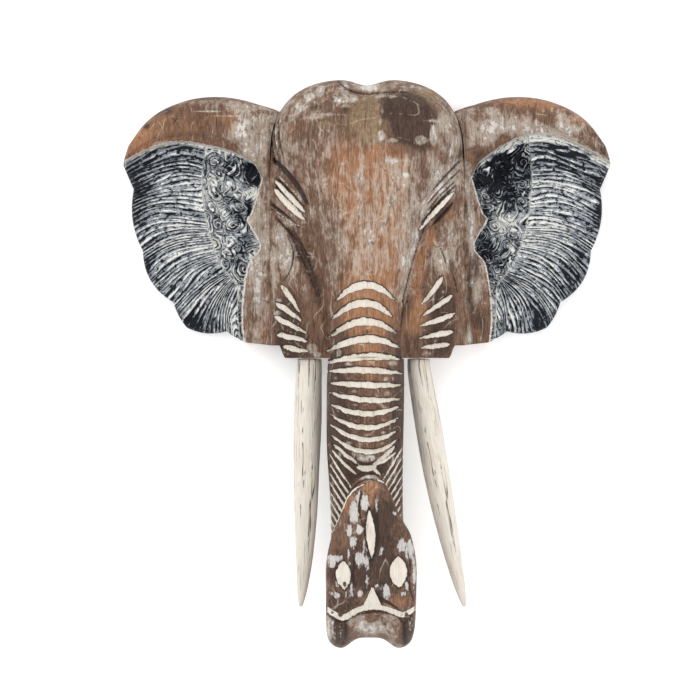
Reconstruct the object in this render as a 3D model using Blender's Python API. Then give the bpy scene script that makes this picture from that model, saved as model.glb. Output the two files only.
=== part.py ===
"""Carved wooden elephant mask, lying on its flat back.

Five pieces: the head with its trunk, two ears glued to the head's sides, and two tusks under
the cheeks. +X is to the right of a viewer who faces the mask, +Y to the top of the head and
+Z out of the face. The origin is under the middle of the mask, on the plane of its back.

The carving is a free form, so its numbers are carving units, each a share of the mask's height.
"""
import math

import bmesh
import bpy
import numpy as np
from mathutils import Vector
from mathutils.bvhtree import BVHTree

# Driving sizes, in metres
MASK_HEIGHT = 0.500
JOINT_GAP = 0.0003
UNIT = MASK_HEIGHT / 500

# Driving sizes of the carving, in units
HEAD_HALF = 85.0
HEAD_BOTTOM = 4.8
CORNER_RISE = 11.0
CORNER_WIDTH = 14.0
CORNER_RUN = 6.0
DOME_SPRING = 168.0
DOME_RISE = 82.0
DOME_NOTCH = 5.5
DOME_EDGE = 24.0
DOME_ROUNDING = 34.0
TRUNK_HEAD_OVERLAP = 22.0
STRIPE_COUNT = 13
STRIPE_DEPTH = 2.0
STRIPE_HALF_WIDTH = 3.1
SEAM_STRIPE = 4
SLOT_MARGIN = 3.0
SEAM_DEPTH = 2.0
CUTTER_LIFT = 1.3
EAR_JOINT_THICKNESS = 40.0
EAR_RIM_THICKNESS = 33.0
EAR_EDGE_THICKNESS = 14.0
PANEL_FLOOR = 21.0
PANEL_STEP = 2.2
PANEL_LIFT_LEFT = 0.0
PANEL_LIFT_RIGHT = 9.0
RIB_COUNT = 22
RIB_BOW = 0.09
RIB_HEIGHT = 2.6
SCROLL_HEIGHT = 4.0
TUSK_RADIUS = 13.0
TUSK_SIDES_STEP = 3

# Head, from the cheeks' underside upward: y, half width of the forehead and trunk, its front, its foot, its roundness
FOREHEAD = (
    (0, 32.5, 102.0, 44, 2.0),
    (30, 33.5, 99.5, 44, 2.0),
    (60, 36.5, 96.0, 44, 2.0),
    (90, 43.0, 92.0, 43, 2.1),
    (118, 51.0, 89.5, 41, 2.2),
    (145, 61.0, 87.5, 39, 2.4),
    (172, 78.0, 84.5, 36, 2.6),
    (198, 87.0, 80.0, 33, 2.7),
    (225, 87.0, 73.0, 30, 2.7),
    (252, 87.0, 64.0, 28, 2.7),
)

# Lines of one eye, each as x in shares of HEAD_HALF and y, its half width and its depth
EYE_LINES = (
    (((0.918, 166), (0.824, 156), (0.694, 143)), 2.4, 3.0),
    (((0.906, 153), (0.812, 145), (0.682, 132)), 1.7, 2.4),
    (((0.918, 141), (0.835, 134), (0.718, 122)), 2.8, 3.4),
    (((0.882, 126), (0.776, 115), (0.671, 105)), 2.6, 2.4),
)

# Cheek and eye crest at each side of the forehead: y, height
CHEEK = (
    (0, 53),
    (25, 58),
    (50, 58),
    (72, 53),
    (90, 50),
    (110, 55),
    (135, 61),
    (155, 59),
    (178, 48),
    (205, 38),
)

# Trunk, from inside the head to the tip of the curl: y, z, half width, half thickness, x, groove, squareness
TRUNK = (
    (HEAD_BOTTOM + TRUNK_HEAD_OVERLAP, 66.0, 31.5, 32.5, -1.0, 0, 2.25),
    (HEAD_BOTTOM - 3, 67.7, 32.9, 34.2, -1.2, 0, 2.25),
    (HEAD_BOTTOM - 6, 67.9, 33.0, 34.4, -1.2, 0, 2.25),
    (-18, 69.0, 33.4, 35.5, -1.5, 0, 2.25),
    (-45, 66.0, 33.4, 35.0, -1.8, 0, 2.25),
    (-75, 58.5, 33.0, 33.0, -1.9, 0, 2.25),
    (-105, 49.0, 32.0, 30.5, -1.0, 0, 2.25),
    (-135, 42.0, 31.6, 28.0, 0.0, 0, 2.3),
    (-165, 39.5, 32.8, 26.0, 1.0, 0, 2.4),
    (-190, 42.5, 35.0, 25.5, 1.6, 0.3, 2.7),
    (-213, 54.5, 36.6, 25.0, 1.8, 1, 3.3),
    (-222.5, 72.0, 37.4, 24.5, 2.2, 1, 3.8),
    (-214.5, 92.0, 38.2, 22.0, 2.8, 0.9, 3.8),
    (-193, 103.0, 38.4, 19.5, 3.1, 0, 3.2),
    (-167, 107.5, 38.0, 15.5, 3.2, 0, 2.7),
    (-146, 110.5, 33.5, 12.5, 3.2, 0, 2.4),
    (-125, 112.5, 23.6, 9.5, 2.0, 0, 2.3),
    (-108, 113.5, 17.0, 7.5, 1.4, 0, 2.2),
    (-98, 114.0, 9.5, 5.5, 1.4, 0, 2.1),
    (-94, 114.0, 3.5, 3.5, 2.5, 0, 2.0),
)
TRUNK_GROOVE_DEPTH = 11.0
TRUNK_GROOVE_HALF = 19.0
TRUNK_RING_STEP = 11.0
TRUNK_SIDES = 16

# Ear, as distances out from the head's side and heights y
EAR_TOP = ((-5, 222), (13, 229.5), (34, 234.5), (55, 235.3), (76, 231.8), (97, 223), (112, 211), (125, 192))
EAR_TIP = (130.5, 175.5)
EAR_NOTCHES = ((121, 153.5), (113, 99.5), (86, 54), (74, 31.5), (39, 28.5), (30, 22.5))
EAR_LOBES = (5.0, 7.5, 1.5, 3.5, 0.5)
EAR_NECK = ((-5, 162), (-5, 16))
PANEL_INNER = ((7, 161.5), (16, 133), (20, 125), (9, 103), (19, 87), (24, 60), (25, 36), (23, 18.5))
PANEL_SPINE = ((57, 190), (60, 160), (58, 135), (53, 112), (46, 92), (37, 78), (29.5, 68), (28.5, 44), (26.5, 20.5))
PANEL_TOP = (
    (7, 161.5), (10.5, 169.5), (22, 179.5), (40, 187), (57, 191), (79, 194), (97, 191), (115, 184), (130.5, 175.5),
)

# Fan of the ear's rows, from its top down: share of the rows, of the edge, of the spine, of the inner line, of the joint
EAR_ROWS = (
    (0, 0, 0, 0, 0),
    (0.20, 0.20, 0.195, 0.11, 0.15),
    (0.32, 0.33, 0.32, 0.31, 0.27),
    (0.44, 0.46, 0.396, 0.40, 0.377),
    (0.55, 0.58, 0.479, 0.50, 0.46),
    (0.65, 0.687, 0.58, 0.585, 0.53),
    (0.74, 0.78, 0.65, 0.63, 0.59),
    (0.88, 0.95, 0.76, 0.71, 0.72),
    (1, 1, 1, 1, 1),
)

# Tusks, from root to tip: distance of the middle line in from the head's side, radius as a share of TUSK_RADIUS
TUSK_LEFT = (
    (34.8, 0.83), (34.8, 0.86), (34.0, 0.93), (33.6, 0.98), (32.8, 0.99), (32.4, 0.94),
    (32.0, 0.85), (31.4, 0.71), (30.6, 0.56), (28.8, 0.36), (27.4, 0.12),
)
TUSK_RIGHT = (
    (39.7, 0.76), (39.7, 0.80), (37.4, 0.87), (33.5, 0.91), (29.4, 0.92), (25.0, 0.90),
    (20.2, 0.83), (15.2, 0.71), (9.8, 0.57), (4.4, 0.37), (1.0, 0.12),
)
TUSK_STATIONS = (0, 4, 22, 46, 72, 98, 124, 150, 176, 200, 215)
TUSK_ROOT_Z = 40.0
TUSK_TIP_Z = 66.0


def along(table, t):
    """Rows (t, value, ...) read smoothly at t, and held beyond the ends."""
    rows = np.array(table, float)
    knots = rows[:, 0]
    values = rows[:, 1:]
    slopes = np.gradient(values, knots, axis=0)
    t = np.clip(np.asarray(t, float), knots[0], knots[-1])
    i = np.clip(np.searchsorted(knots, t, side="right") - 1, 0, len(knots) - 2)
    span = knots[i + 1] - knots[i]
    s = ((t - knots[i]) / span)[..., None]
    span = span[..., None]
    start = (2 * s ** 3 - 3 * s ** 2 + 1) * values[i] + (s ** 3 - 2 * s ** 2 + s) * span * slopes[i]
    end = (3 * s ** 2 - 2 * s ** 3) * values[i + 1] + (s ** 3 - s ** 2) * span * slopes[i + 1]
    return start + end


def through(points, shares):
    """A smooth line through the given points, read at shares of it from 0 to 1."""
    table = [(i, *p) for i, p in enumerate(points)]
    return along(table, shares * (len(points) - 1))


def ramp(t):
    """0 to 1 with soft ends."""
    t = np.clip(t, 0, 1)
    return t * t * (3 - 2 * t)


def dome_top(x):
    """Height y of the head's upper outline: two lobes with a notch between."""
    share = np.clip(np.abs(x) / HEAD_HALF, 0, 1)
    rise = DOME_RISE * (1 - share ** 3.0) ** (1 / 3.0)
    return DOME_SPRING + rise - DOME_NOTCH * np.exp(-(x / 14.0) ** 2)


def head_bottom(x):
    """Height y of the cheeks' underside, cut back at the head's lower corners."""
    return HEAD_BOTTOM + CORNER_RISE * ramp((np.abs(x) - HEAD_HALF + CORNER_WIDTH) / CORNER_RUN)


def head_height(x, y):
    """Height z of the head's front at x, y."""
    half, front, foot, power = np.moveaxis(along(FOREHEAD, y), -1, 0)
    share = np.clip(np.abs(x + 0.8) / half, 0, 1)
    ridge = foot + (front - foot) * np.sqrt(1 - share ** power)
    ridge = ridge + 3.0 * np.exp(-((np.abs(x) - 40) / 26.0) ** 2 - ((y - 222) / 26.0) ** 2)
    ridge = ridge - 9.0 * np.exp(-(x / 11.0) ** 2) * ramp((y - 205) / 40.0)
    cheek = along(CHEEK, y)[..., 0] - 9.0 * ramp((np.abs(x) - 58) / 34.0)
    softness = 3.0
    z = softness * np.logaddexp(ridge / softness, cheek / softness)
    inward = np.clip((dome_top(x) - y) / DOME_ROUNDING, 0, 1)
    return DOME_EDGE + (z - DOME_EDGE) * np.sqrt(1 - (1 - inward) ** 2.2)


def trunk_reach():
    """Distance of each row of the trunk's table from the first, along the middle line."""
    steps = [math.hypot(b[0] - a[0], b[1] - a[1]) for a, b in zip(TRUNK, TRUNK[1:])]
    return np.concatenate(((0,), np.cumsum(steps)))


def trunk_point(s, angle):
    """Points of the trunk at a distance s along it; angle 0 faces the viewer on the upper trunk."""
    table = [(reach, *row) for reach, row in zip(trunk_reach(), TRUNK)]
    y, z, half, thick, x, groove, square = np.moveaxis(along(table, s), -1, 0)
    before = along(table, s - 0.5)
    after = along(table, s + 0.5)
    run_y = after[..., 0] - before[..., 0]
    run_z = after[..., 1] - before[..., 1]
    length = np.hypot(run_y, run_z)
    seam = SEAM_DEPTH * ramp((y - HEAD_BOTTOM + 6) / 3) * (z < 70)
    side = np.sin(angle)
    out = np.cos(angle)
    power = 2 / square
    across = (half - seam) * np.sign(side) * np.abs(side) ** power
    depth = (thick - seam) * np.sign(out) * np.abs(out) ** power
    hollow = TRUNK_GROOVE_DEPTH * groove * np.exp(-(across / TRUNK_GROOVE_HALF) ** 4)
    depth = depth + hollow * (out < 0)
    return np.stack((x + across, y + depth * run_z / length, z - depth * run_y / length), -1)


def stripe(i):
    """Middle height y, rise of the middle over the ends and half span of one stripe of the trunk."""
    share = i / (STRIPE_COUNT - 1)
    y = 67.2 - 15.3 * min(i, 4) - 11.7 * max(i - 4, 0)
    return y, 13.5 * math.cos(math.pi * share), 24.5 + 4.5 * min(1.0, i / 4)


def collection(name):
    made = bpy.data.collections.new(name)
    bpy.context.scene.collection.children.link(made)
    return made


def material(name, colour, roughness):
    made = bpy.data.materials.new(name)
    made.use_nodes = True
    shader = made.node_tree.nodes["Principled BSDF"]
    shader.inputs["Base Color"].default_value = (*colour, 1)
    shader.inputs["Roughness"].default_value = roughness
    shader.inputs["Metallic"].default_value = 0.0
    return made


def solid(name, points, faces, into, finish=None):
    """A mesh object from points in units, in flat triangles whose faces turn outward."""
    mesh = bpy.data.meshes.new(name)
    mesh.from_pydata([[c * UNIT for c in p] for p in points], [], faces)
    shape = bmesh.new()
    shape.from_mesh(mesh)
    bmesh.ops.triangulate(shape, faces=shape.faces)
    bmesh.ops.recalc_face_normals(shape, faces=shape.faces)
    shape.to_mesh(mesh)
    shape.free()
    made = bpy.data.objects.new(name, mesh)
    into.objects.link(made)
    if finish:
        mesh.materials.append(finish)
    return made


def relief(name, grid, into, finish=None):
    """A closed block whose front is a grid of points and whose back is flat on z = 0."""
    rows, columns = grid.shape[:2]
    points = [tuple(p) for p in grid.reshape(-1, 3)]
    faces = []
    for r in range(rows - 1):
        for c in range(columns - 1):
            corner = r * columns + c
            faces.append((corner, corner + 1, corner + columns + 1, corner + columns))
    rim = [c for c in range(columns)]
    rim += [r * columns + columns - 1 for r in range(1, rows)]
    rim += [(rows - 1) * columns + c for c in range(columns - 2, -1, -1)]
    rim += [r * columns for r in range(rows - 2, 0, -1)]
    first = len(points)
    points += [(points[i][0], points[i][1], 0.0) for i in rim]
    for k in range(len(rim)):
        n = (k + 1) % len(rim)
        faces.append((rim[n], rim[k], first + k, first + n))
    faces.append(tuple(first + k for k in range(len(rim))))
    return solid(name, points, faces, into, finish)


def tube(name, rings, into):
    """A closed loft over rings of points."""
    count, sides = rings.shape[:2]
    points = [tuple(p) for p in rings.reshape(-1, 3)]
    faces = []
    for r in range(count - 1):
        for c in range(sides):
            n = (c + 1) % sides
            faces.append((r * sides + c, r * sides + n, (r + 1) * sides + n, (r + 1) * sides + c))
    faces.append(tuple(range(sides)))
    faces.append(tuple((count - 1) * sides + c for c in range(sides)))
    return solid(name, points, faces, into)


def cutter(made):
    made.hide_render = True
    made.display_type = "WIRE"
    return made


def cut(target, tool, operation):
    change = target.modifiers.new(tool.name, "BOOLEAN")
    change.operation = operation
    change.solver = "EXACT"
    change.object = tool


def surface(objects):
    """A function that gives the highest point and its normal over x, y, in units."""
    trees = []
    for made in objects:
        shape = bmesh.new()
        shape.from_mesh(made.data)
        trees.append(BVHTree.FromBMesh(shape))
        shape.free()

    def over(x, y):
        hits = [tree.ray_cast(Vector((x * UNIT, y * UNIT, 1)), Vector((0, 0, -1))) for tree in trees]
        hits = [hit for hit in hits if hit[0] is not None]
        place, normal = max(hits, key=lambda hit: hit[0].z)[:2]
        return place / UNIT, normal
    return over


def groove(points, half_width, depth, over, steps=4, blunt=0.15):
    """Points and faces of one V-shaped spindle that follows a line over the surface."""
    line = through(points, np.linspace(0, 1, steps + 1))
    middle = [over(*p) for p in line]
    corners = []
    for k, (place, normal) in enumerate(middle):
        ahead = middle[min(k + 1, steps)][0] - middle[max(k - 1, 0)][0]
        across = normal.cross(ahead).normalized()
        swell = max(blunt, math.sin(math.pi * k / steps) ** 0.7)
        wide = across * half_width * (swell + CUTTER_LIFT / depth)
        corners.append(place + wide + normal * CUTTER_LIFT)
        corners.append(place - wide + normal * CUTTER_LIFT)
        corners.append(place - normal * depth * swell)
    faces = [(0, 1, 2), tuple(3 * steps + c for c in range(3))]
    for k in range(steps):
        for c in range(3):
            n = (c + 1) % 3
            faces.append((3 * k + c, 3 * k + n, 3 * k + 3 + n, 3 * k + 3 + c))
    return [tuple(p) for p in corners], faces


def joined(name, parts, into):
    """One cutter object out of many separate spindles."""
    points = []
    faces = []
    for part_points, part_faces in parts:
        first = len(points)
        points += part_points
        faces += [tuple(first + i for i in face) for face in part_faces]
    return cutter(solid(name, points, faces, into))


def head_block(into, finish):
    columns = 25
    rows = 22
    u = np.linspace(-1, 1, columns)
    x = HEAD_HALF * (0.5 * u + 0.5 * np.sin(math.pi / 2 * u))
    r = np.linspace(0, 1, rows)
    v = 1 - (1 - r) ** 1.35
    grid_x = np.tile(x, (rows, 1))
    low = head_bottom(grid_x)
    grid_y = low + v[:, None] * (dome_top(grid_x) - low)
    grid = np.stack((grid_x, grid_y, head_height(grid_x, grid_y)), -1)
    return relief("head", grid, into, finish)


def head_outline(clearance):
    """The head's outline seen from the front, pushed out by a clearance."""
    x = HEAD_HALF * np.sin(math.pi / 2 * np.linspace(-1, 1, 25))
    top = [(a, dome_top(a)) for a in x]
    low = HEAD_BOTTOM - 40
    outline = [(-HEAD_HALF, low)] + top + [(HEAD_HALF, low)]
    middle = (0.0, 90.0)
    pushed = []
    for px, py in outline:
        away = Vector((px - middle[0], py - middle[1])).normalized()
        side = math.copysign(1.0, px)
        pushed.append((px + side * clearance, py + away.y * clearance))
    return pushed


def trunk_loft(into):
    reach = trunk_reach()
    s = []
    for start, end in zip(reach, reach[1:]):
        count = max(1, round((end - start) / TRUNK_RING_STEP))
        s += list(np.linspace(start, end, count, endpoint=False))
    s.append(reach[-1])
    angle = np.arange(TRUNK_SIDES) * 2 * math.pi / TRUNK_SIDES
    rings = trunk_point(*np.meshgrid(s, angle, indexing="ij"))
    return cutter(tube("trunk", rings, into))


def eye_grooves(side, over):
    """Brow line, slit between the two lids, eye slit and the line below the eye."""
    grooves = []
    for line, half, depth in EYE_LINES:
        points = [(side * share * HEAD_HALF, y) for share, y in line]
        grooves.append(groove(points, half, depth, over))
    return grooves


def cheek_stripes(side, over):
    """Five slots that fan out over a cheek, from its outer upper edge towards the trunk, clear of its underside."""
    slots = []
    for k in range(5):
        share = k / 4
        inner = Vector((HEAD_HALF - 44.5, HEAD_BOTTOM + 42.2 - 38 * share))
        outer = Vector((HEAD_HALF - 8 - 4 * abs(share - 0.4), HEAD_BOTTOM + 67.2 - 60 * share))
        outer.y = max(outer.y, head_bottom(outer.x) + SLOT_MARGIN)
        middle = (inner + outer) / 2 + Vector((0, 2.5 - 3 * share))
        line = [(side * p.x, p.y) for p in (outer, middle, inner)]
        slots.append(groove(line, 3.0, 2.2, over))
    return slots


def trunk_stripes(over):
    """Crescent slots across the trunk; the step under the cheeks stands for one of them."""
    slots = []
    for i in range(STRIPE_COUNT):
        if i == SEAM_STRIPE:
            continue
        y, rise, span = stripe(i)
        line = [(-1.5 + span * t, y - rise * t * t) for t in (-1, -0.5, 0, 0.5, 1)]
        slots.append(groove(line, STRIPE_HALF_WIDTH, STRIPE_DEPTH, over, steps=8))
    return slots


def tip_carving(over):
    """Three almonds on the upturned tip and the forked band below them."""
    almonds = (((2.5, -118), (1.0, -143), (3.0, -168)), ((-22, -166), (-22.5, -178), (-20, -191)),
               ((27, -164), (27, -176), (27, -190)))
    widths = (4.0, 5.5, 6.5)
    cuts = [groove(line, half, 1.8, over, steps=6) for line, half in zip(almonds, widths)]
    for side in (-1, 1):
        cuts.append(groove(((3 + side * 3, -201), (3 + side * 14, -211), (3 + side * 30, -214)), 2.4, 1.6, over))
    return cuts


def ear_edge(shares):
    """The ear's lobed lower edge, from the tip to the joint, read at shares of its length."""
    corners = [EAR_TIP] + list(EAR_NOTCHES)
    bulges = (0.0,) + EAR_LOBES
    line = []
    for k, bulge in enumerate(bulges):
        start = Vector(corners[k])
        run = Vector(corners[k + 1]) - start
        away = Vector((-run.y, run.x)).normalized()
        for t in np.arange(0, 1, 0.02):
            line.append(start + run * t + away * bulge * 4 * t * (1 - t))
    line.append(Vector(corners[-1]))
    line = np.array([tuple(p) for p in line])
    steps = np.hypot(*np.diff(line, axis=0).T)
    reach = np.concatenate(((0,), np.cumsum(steps)))
    return np.stack([np.interp(shares * reach[-1], reach, line[:, a]) for a in (0, 1)], -1)


def panel_top(out, lift):
    """Height y of the panel's arched upper end at a distance out from the head's side."""
    return along(PANEL_TOP, out)[..., 0] + lift * np.exp(-((out - 58) / 32.0) ** 2)


def ear_grid(panel_lift):
    """Front of a right-hand ear: rows from the rim's crown down over the ribbed panel to the ear's lower end."""
    rows = 2 * RIB_COUNT + 1
    edge_share, spine_share, inner_share, joint_share = along(EAR_ROWS, np.linspace(0, 1, rows)).T
    edge = ear_edge(edge_share)
    spine = through(PANEL_SPINE, spine_share)
    inner = through(PANEL_INNER, inner_share)
    joint = through(EAR_NECK, joint_share)
    chord = edge - spine
    rib = np.where(np.arange(rows) % 2 == 0, 0.0, 1.0)
    columns = []

    def column(a, b, share, z):
        place = a + (b - a) * np.reshape(share, (-1, 1))
        columns.append(np.column_stack((place, np.broadcast_to(z, rows))))

    neck = EAR_JOINT_THICKNESS - 5.0 * ramp(np.arange(rows) / (rows - 1.0) * 1.4 - 0.4)
    floor = PANEL_FLOOR + np.zeros(rows)
    column(joint, inner, 0.0, neck)
    column(joint, inner, 0.55, neck - 2.0)
    column(joint, inner, 1.0, neck - 5.0)
    room = np.maximum(np.hypot(*(spine - inner).T), 4 * PANEL_STEP)
    column(inner, spine, PANEL_STEP / room, floor)
    column(inner, spine, 0.35, floor + SCROLL_HEIGHT * rib)
    column(inner, spine, 0.70, floor + SCROLL_HEIGHT * (1 - rib))
    column(spine, edge, 0.0, floor + 1.5)
    for share in (0.25, 0.5, 0.75):
        bow = RIB_BOW * math.sin(math.pi * share) * np.column_stack((-chord[:, 1], chord[:, 0]))
        height = floor - 3.0 * share + RIB_HEIGHT * rib
        columns.append(np.column_stack((spine + chord * share + bow, height)))
    column(spine, edge, 0.93, floor - 4.0 + RIB_HEIGHT * rib)
    column(spine, edge, 1.0, EAR_EDGE_THICKNESS + np.zeros(rows))
    panel = np.stack(columns, 1)
    climb = panel_top(panel[0, :, 0], panel_lift) - panel[0, :, 1]
    panel[:, :, 1] += climb * (1 - ramp(np.linspace(0, 1, rows) / 0.3))[:, None]

    count = panel.shape[1]
    start = panel[0]
    top = through(EAR_TOP, np.linspace(0, 1, 60))
    reach = np.concatenate(((0,), np.cumsum(np.hypot(*np.diff(top, axis=0).T))))
    across = np.interp(start[:, 0], (start[0, 0], EAR_TIP[0]), (0, 1)) ** 0.92
    crown = np.stack([np.interp(across * reach[-1], reach, top[:, a]) for a in (0, 1)], -1)
    rim_rows = []
    lift = np.where(np.arange(count) < 3, start[:, 2], EAR_RIM_THICKNESS - 3)
    last = np.arange(count) == count - 1
    crest = np.where(np.arange(count) < 3, EAR_JOINT_THICKNESS - 3, EAR_RIM_THICKNESS)
    for share, height in ((PANEL_STEP / 45, lift), (0.30, crest), (0.62, crest - 1.5),
                          (0.88, crest - 7.0), (1.0, crest * 0 + EAR_EDGE_THICKNESS + 2)):
        place = start[:, :2] + (crown - start[:, :2]) * share
        height = np.where(last, EAR_EDGE_THICKNESS, height)
        rim_rows.append(np.column_stack((place, height)))
    return np.concatenate((np.array(rim_rows[::-1]), panel), 0)


def ear(name, side, panel_lift, into, finish, gap_tool):
    grid = ear_grid(panel_lift)
    grid[..., 0] = (HEAD_HALF + grid[..., 0]) * side
    made = relief(name, grid, into, finish)
    cut(made, gap_tool, "DIFFERENCE")
    return made


def tusk(name, side, table, into, finish):
    """A tapering round tusk along a gently curved line, its root flat under the cheek."""
    line = bpy.data.curves.new(name, "CURVE")
    line.dimensions = "3D"
    line.bevel_depth = TUSK_RADIUS * UNIT
    line.bevel_resolution = TUSK_SIDES_STEP
    line.use_fill_caps = True
    spline = line.splines.new("POLY")
    spline.points.add(len(table) - 1)
    root_y = HEAD_BOTTOM - JOINT_GAP / UNIT
    for point, (inward, share), down in zip(spline.points, table, TUSK_STATIONS):
        bend = (max(down - TUSK_STATIONS[1], 0) / TUSK_STATIONS[-1]) ** 1.6
        z = TUSK_ROOT_Z + (TUSK_TIP_Z - TUSK_ROOT_Z) * bend
        point.co = (side * (HEAD_HALF - inward) * UNIT, (root_y - down) * UNIT, z * UNIT, 1)
        point.radius = share
    line.materials.append(finish)
    made = bpy.data.objects.new(name, line)
    into.objects.link(made)
    return made


def corners(objects):
    """Lowest and highest corner of the finished pieces, in metres."""
    graph = bpy.context.evaluated_depsgraph_get()
    found = []
    for made in objects:
        shown = made.evaluated_get(graph)
        mesh = shown.to_mesh()
        found += [tuple(shown.matrix_world @ v.co) for v in mesh.vertices]
        shown.to_mesh_clear()
    return np.min(found, 0), np.max(found, 0)


def main():
    for old in list(bpy.data.objects):
        bpy.data.objects.remove(old, do_unlink=True)
    mask = collection("elephant mask")
    tools = collection("cutters")
    wood = material("whitewashed brown wood", (0.20, 0.10, 0.06), 0.6)
    dark = material("black and white painted ear", (0.08, 0.09, 0.11), 0.6)
    cream = material("cream paint", (0.80, 0.72, 0.58), 0.5)

    head = head_block(mask, wood)
    trunk = trunk_loft(tools)
    over = surface((head, trunk))
    cuts = trunk_stripes(over) + tip_carving(over)
    for side in (-1, 1):
        cuts += eye_grooves(side, over) + cheek_stripes(side, over)
    carving = joined("carved lines", cuts, tools)
    cut(head, trunk, "UNION")
    cut(head, carving, "DIFFERENCE")

    outline = head_outline(JOINT_GAP / UNIT)
    count = len(outline)
    prism = [(x, y, -20.0) for x, y in outline] + [(x, y, 200.0) for x, y in outline]
    walls = [(k, (k + 1) % count, count + (k + 1) % count, count + k) for k in range(count)]
    caps = [tuple(range(count)), tuple(range(count, 2 * count))]
    gap_tool = cutter(solid("head and joint gap", prism, walls + caps, tools))
    pieces = [
        head,
        ear("ear_left", -1, PANEL_LIFT_LEFT, mask, dark, gap_tool),
        ear("ear_right", 1, PANEL_LIFT_RIGHT, mask, dark, gap_tool),
        tusk("tusk_left", -1, TUSK_LEFT, mask, cream),
        tusk("tusk_right", 1, TUSK_RIGHT, mask, cream),
    ]

    low, high = corners(pieces)
    shift = Vector((-(low[0] + high[0]) / 2, -(low[1] + high[1]) / 2, -low[2]))
    for made in pieces + list(tools.objects):
        made.location = shift
    print("size in millimetres", [round(float(c) * 1000, 1) for c in high - low], "moved by", shift * 1000)


main()
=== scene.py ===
# %% [markdown]
# An elephant mask: a head board with two domes, a trunk that curls forward at its tip, two spread
# ears and two long tusks, all of carved and painted wood. It lies on its flat back, so the camera
# looks straight down on it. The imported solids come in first, because every piece is built on them.

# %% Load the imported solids
import math

import bpy
import numpy as np
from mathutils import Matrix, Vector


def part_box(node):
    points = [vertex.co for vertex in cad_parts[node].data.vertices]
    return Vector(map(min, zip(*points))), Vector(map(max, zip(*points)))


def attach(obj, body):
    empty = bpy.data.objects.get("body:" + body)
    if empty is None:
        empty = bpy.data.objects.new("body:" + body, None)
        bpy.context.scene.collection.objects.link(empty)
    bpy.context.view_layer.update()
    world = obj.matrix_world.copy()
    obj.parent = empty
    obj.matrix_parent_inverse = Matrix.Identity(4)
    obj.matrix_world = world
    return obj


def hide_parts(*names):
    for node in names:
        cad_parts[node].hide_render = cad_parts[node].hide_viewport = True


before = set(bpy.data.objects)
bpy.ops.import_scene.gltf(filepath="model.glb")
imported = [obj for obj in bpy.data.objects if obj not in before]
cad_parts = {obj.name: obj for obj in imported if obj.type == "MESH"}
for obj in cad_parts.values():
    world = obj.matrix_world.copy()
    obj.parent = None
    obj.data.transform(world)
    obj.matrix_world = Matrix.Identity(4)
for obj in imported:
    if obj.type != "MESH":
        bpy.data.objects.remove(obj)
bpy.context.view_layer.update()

# %% [markdown]
# The carving's numbers are millimetres, with y = 0 near the underside of the cheeks. The solids were
# moved so that the origin is under their middle, so the move is read back from the head's own box:
# the crest of its domes is at y = 249 in the carving's numbers. The camera hangs 2.4 m above with a
# long lens, as the photo was taken: its half width and focal length are in pixels of the photo.

# %% Units and the camera
MM = 0.001
CREST = 249.0
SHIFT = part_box("head")[1].y / MM - CREST
HEAD_HALF = 85.0
HEAD_BOTTOM = 4.8
DOME_BASE, DOME_RISE, DOME_POWER = 168.0, 82.0, 3.0
HALF_PHOTO, FOCAL = 350, 2700
VIEW_X, VIEW_Y, VIEW_HEIGHT = -0.0149, 0.0118, 2.4

eye = bpy.data.cameras.new("camera")
eye.angle = 2 * math.atan(HALF_PHOTO / FOCAL)
camera = bpy.data.objects.new("camera", eye)
camera.location = (VIEW_X, VIEW_Y + SHIFT * MM, VIEW_HEIGHT)
bpy.context.scene.collection.objects.link(camera)
bpy.context.scene.camera = camera
print("carving moved by", round(SHIFT, 2), "mm")

# %% [markdown]
# A carved form is easiest to hold as a few cross-sections with smooth readings between them. `along`
# reads such a table with a Hermite curve, `through` draws a smooth line through points, and `ramp`
# is a soft step. A grid primitive then takes its shape from these readings.

# %% Reading tables smoothly
def along(table, t):
    """Rows (t, value, ...) read smoothly at t, and held beyond the ends."""
    rows = np.array(table, float)
    knots, values = rows[:, 0], rows[:, 1:]
    slopes = np.gradient(values, knots, axis=0)
    t = np.clip(np.asarray(t, float), knots[0], knots[-1])
    i = np.clip(np.searchsorted(knots, t, side="right") - 1, 0, len(knots) - 2)
    span = knots[i + 1] - knots[i]
    s = ((t - knots[i]) / span)[..., None]
    span = span[..., None]
    start = (2 * s ** 3 - 3 * s ** 2 + 1) * values[i] + (s ** 3 - 2 * s ** 2 + s) * span * slopes[i]
    end = (3 * s ** 2 - 2 * s ** 3) * values[i + 1] + (s ** 3 - s ** 2) * span * slopes[i + 1]
    return start + end


def through(points, t):
    """A smooth line through the points, read at t from 0 to 1."""
    table = [(i, *p) for i, p in enumerate(points)]
    return along(table, np.asarray(t) * (len(points) - 1))


def ramp(t):
    t = np.clip(t, 0, 1)
    return t * t * (3 - 2 * t)


# %% Grids, edit mode and attributes
def grid(name, across, down):
    """A grid primitive, and each point's place over it from 0 to 1."""
    bpy.ops.object.select_all(action="DESELECT")
    bpy.ops.mesh.primitive_grid_add(x_subdivisions=across, y_subdivisions=down, size=1)
    piece = bpy.context.active_object
    piece.name = piece.data.name = name
    flat = read(piece, "co")
    return piece, flat[:, 0] + 0.5, flat[:, 1] + 0.5


def read(piece, what):
    values = np.empty(len(piece.data.vertices) * 3, np.float32)
    piece.data.vertices.foreach_get(what, values)
    return values.reshape(-1, 3).astype(float)


def place(piece, points):
    """Put the points, given in the carving's numbers, into the mesh in metres."""
    moved = (np.asarray(points) + (0, SHIFT, 0)) * MM
    piece.data.vertices.foreach_set("co", moved.astype(np.float32).ravel())
    piece.data.update()


def carving_points(piece):
    return read(piece, "co") / MM - (0, SHIFT, 0)


def keep(piece, name, values):
    """Store one number for each point."""
    made = piece.data.attributes.new(name, "FLOAT", "POINT")
    made.data.foreach_set("value", np.broadcast_to(values, len(piece.data.vertices)).astype(np.float32))


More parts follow.
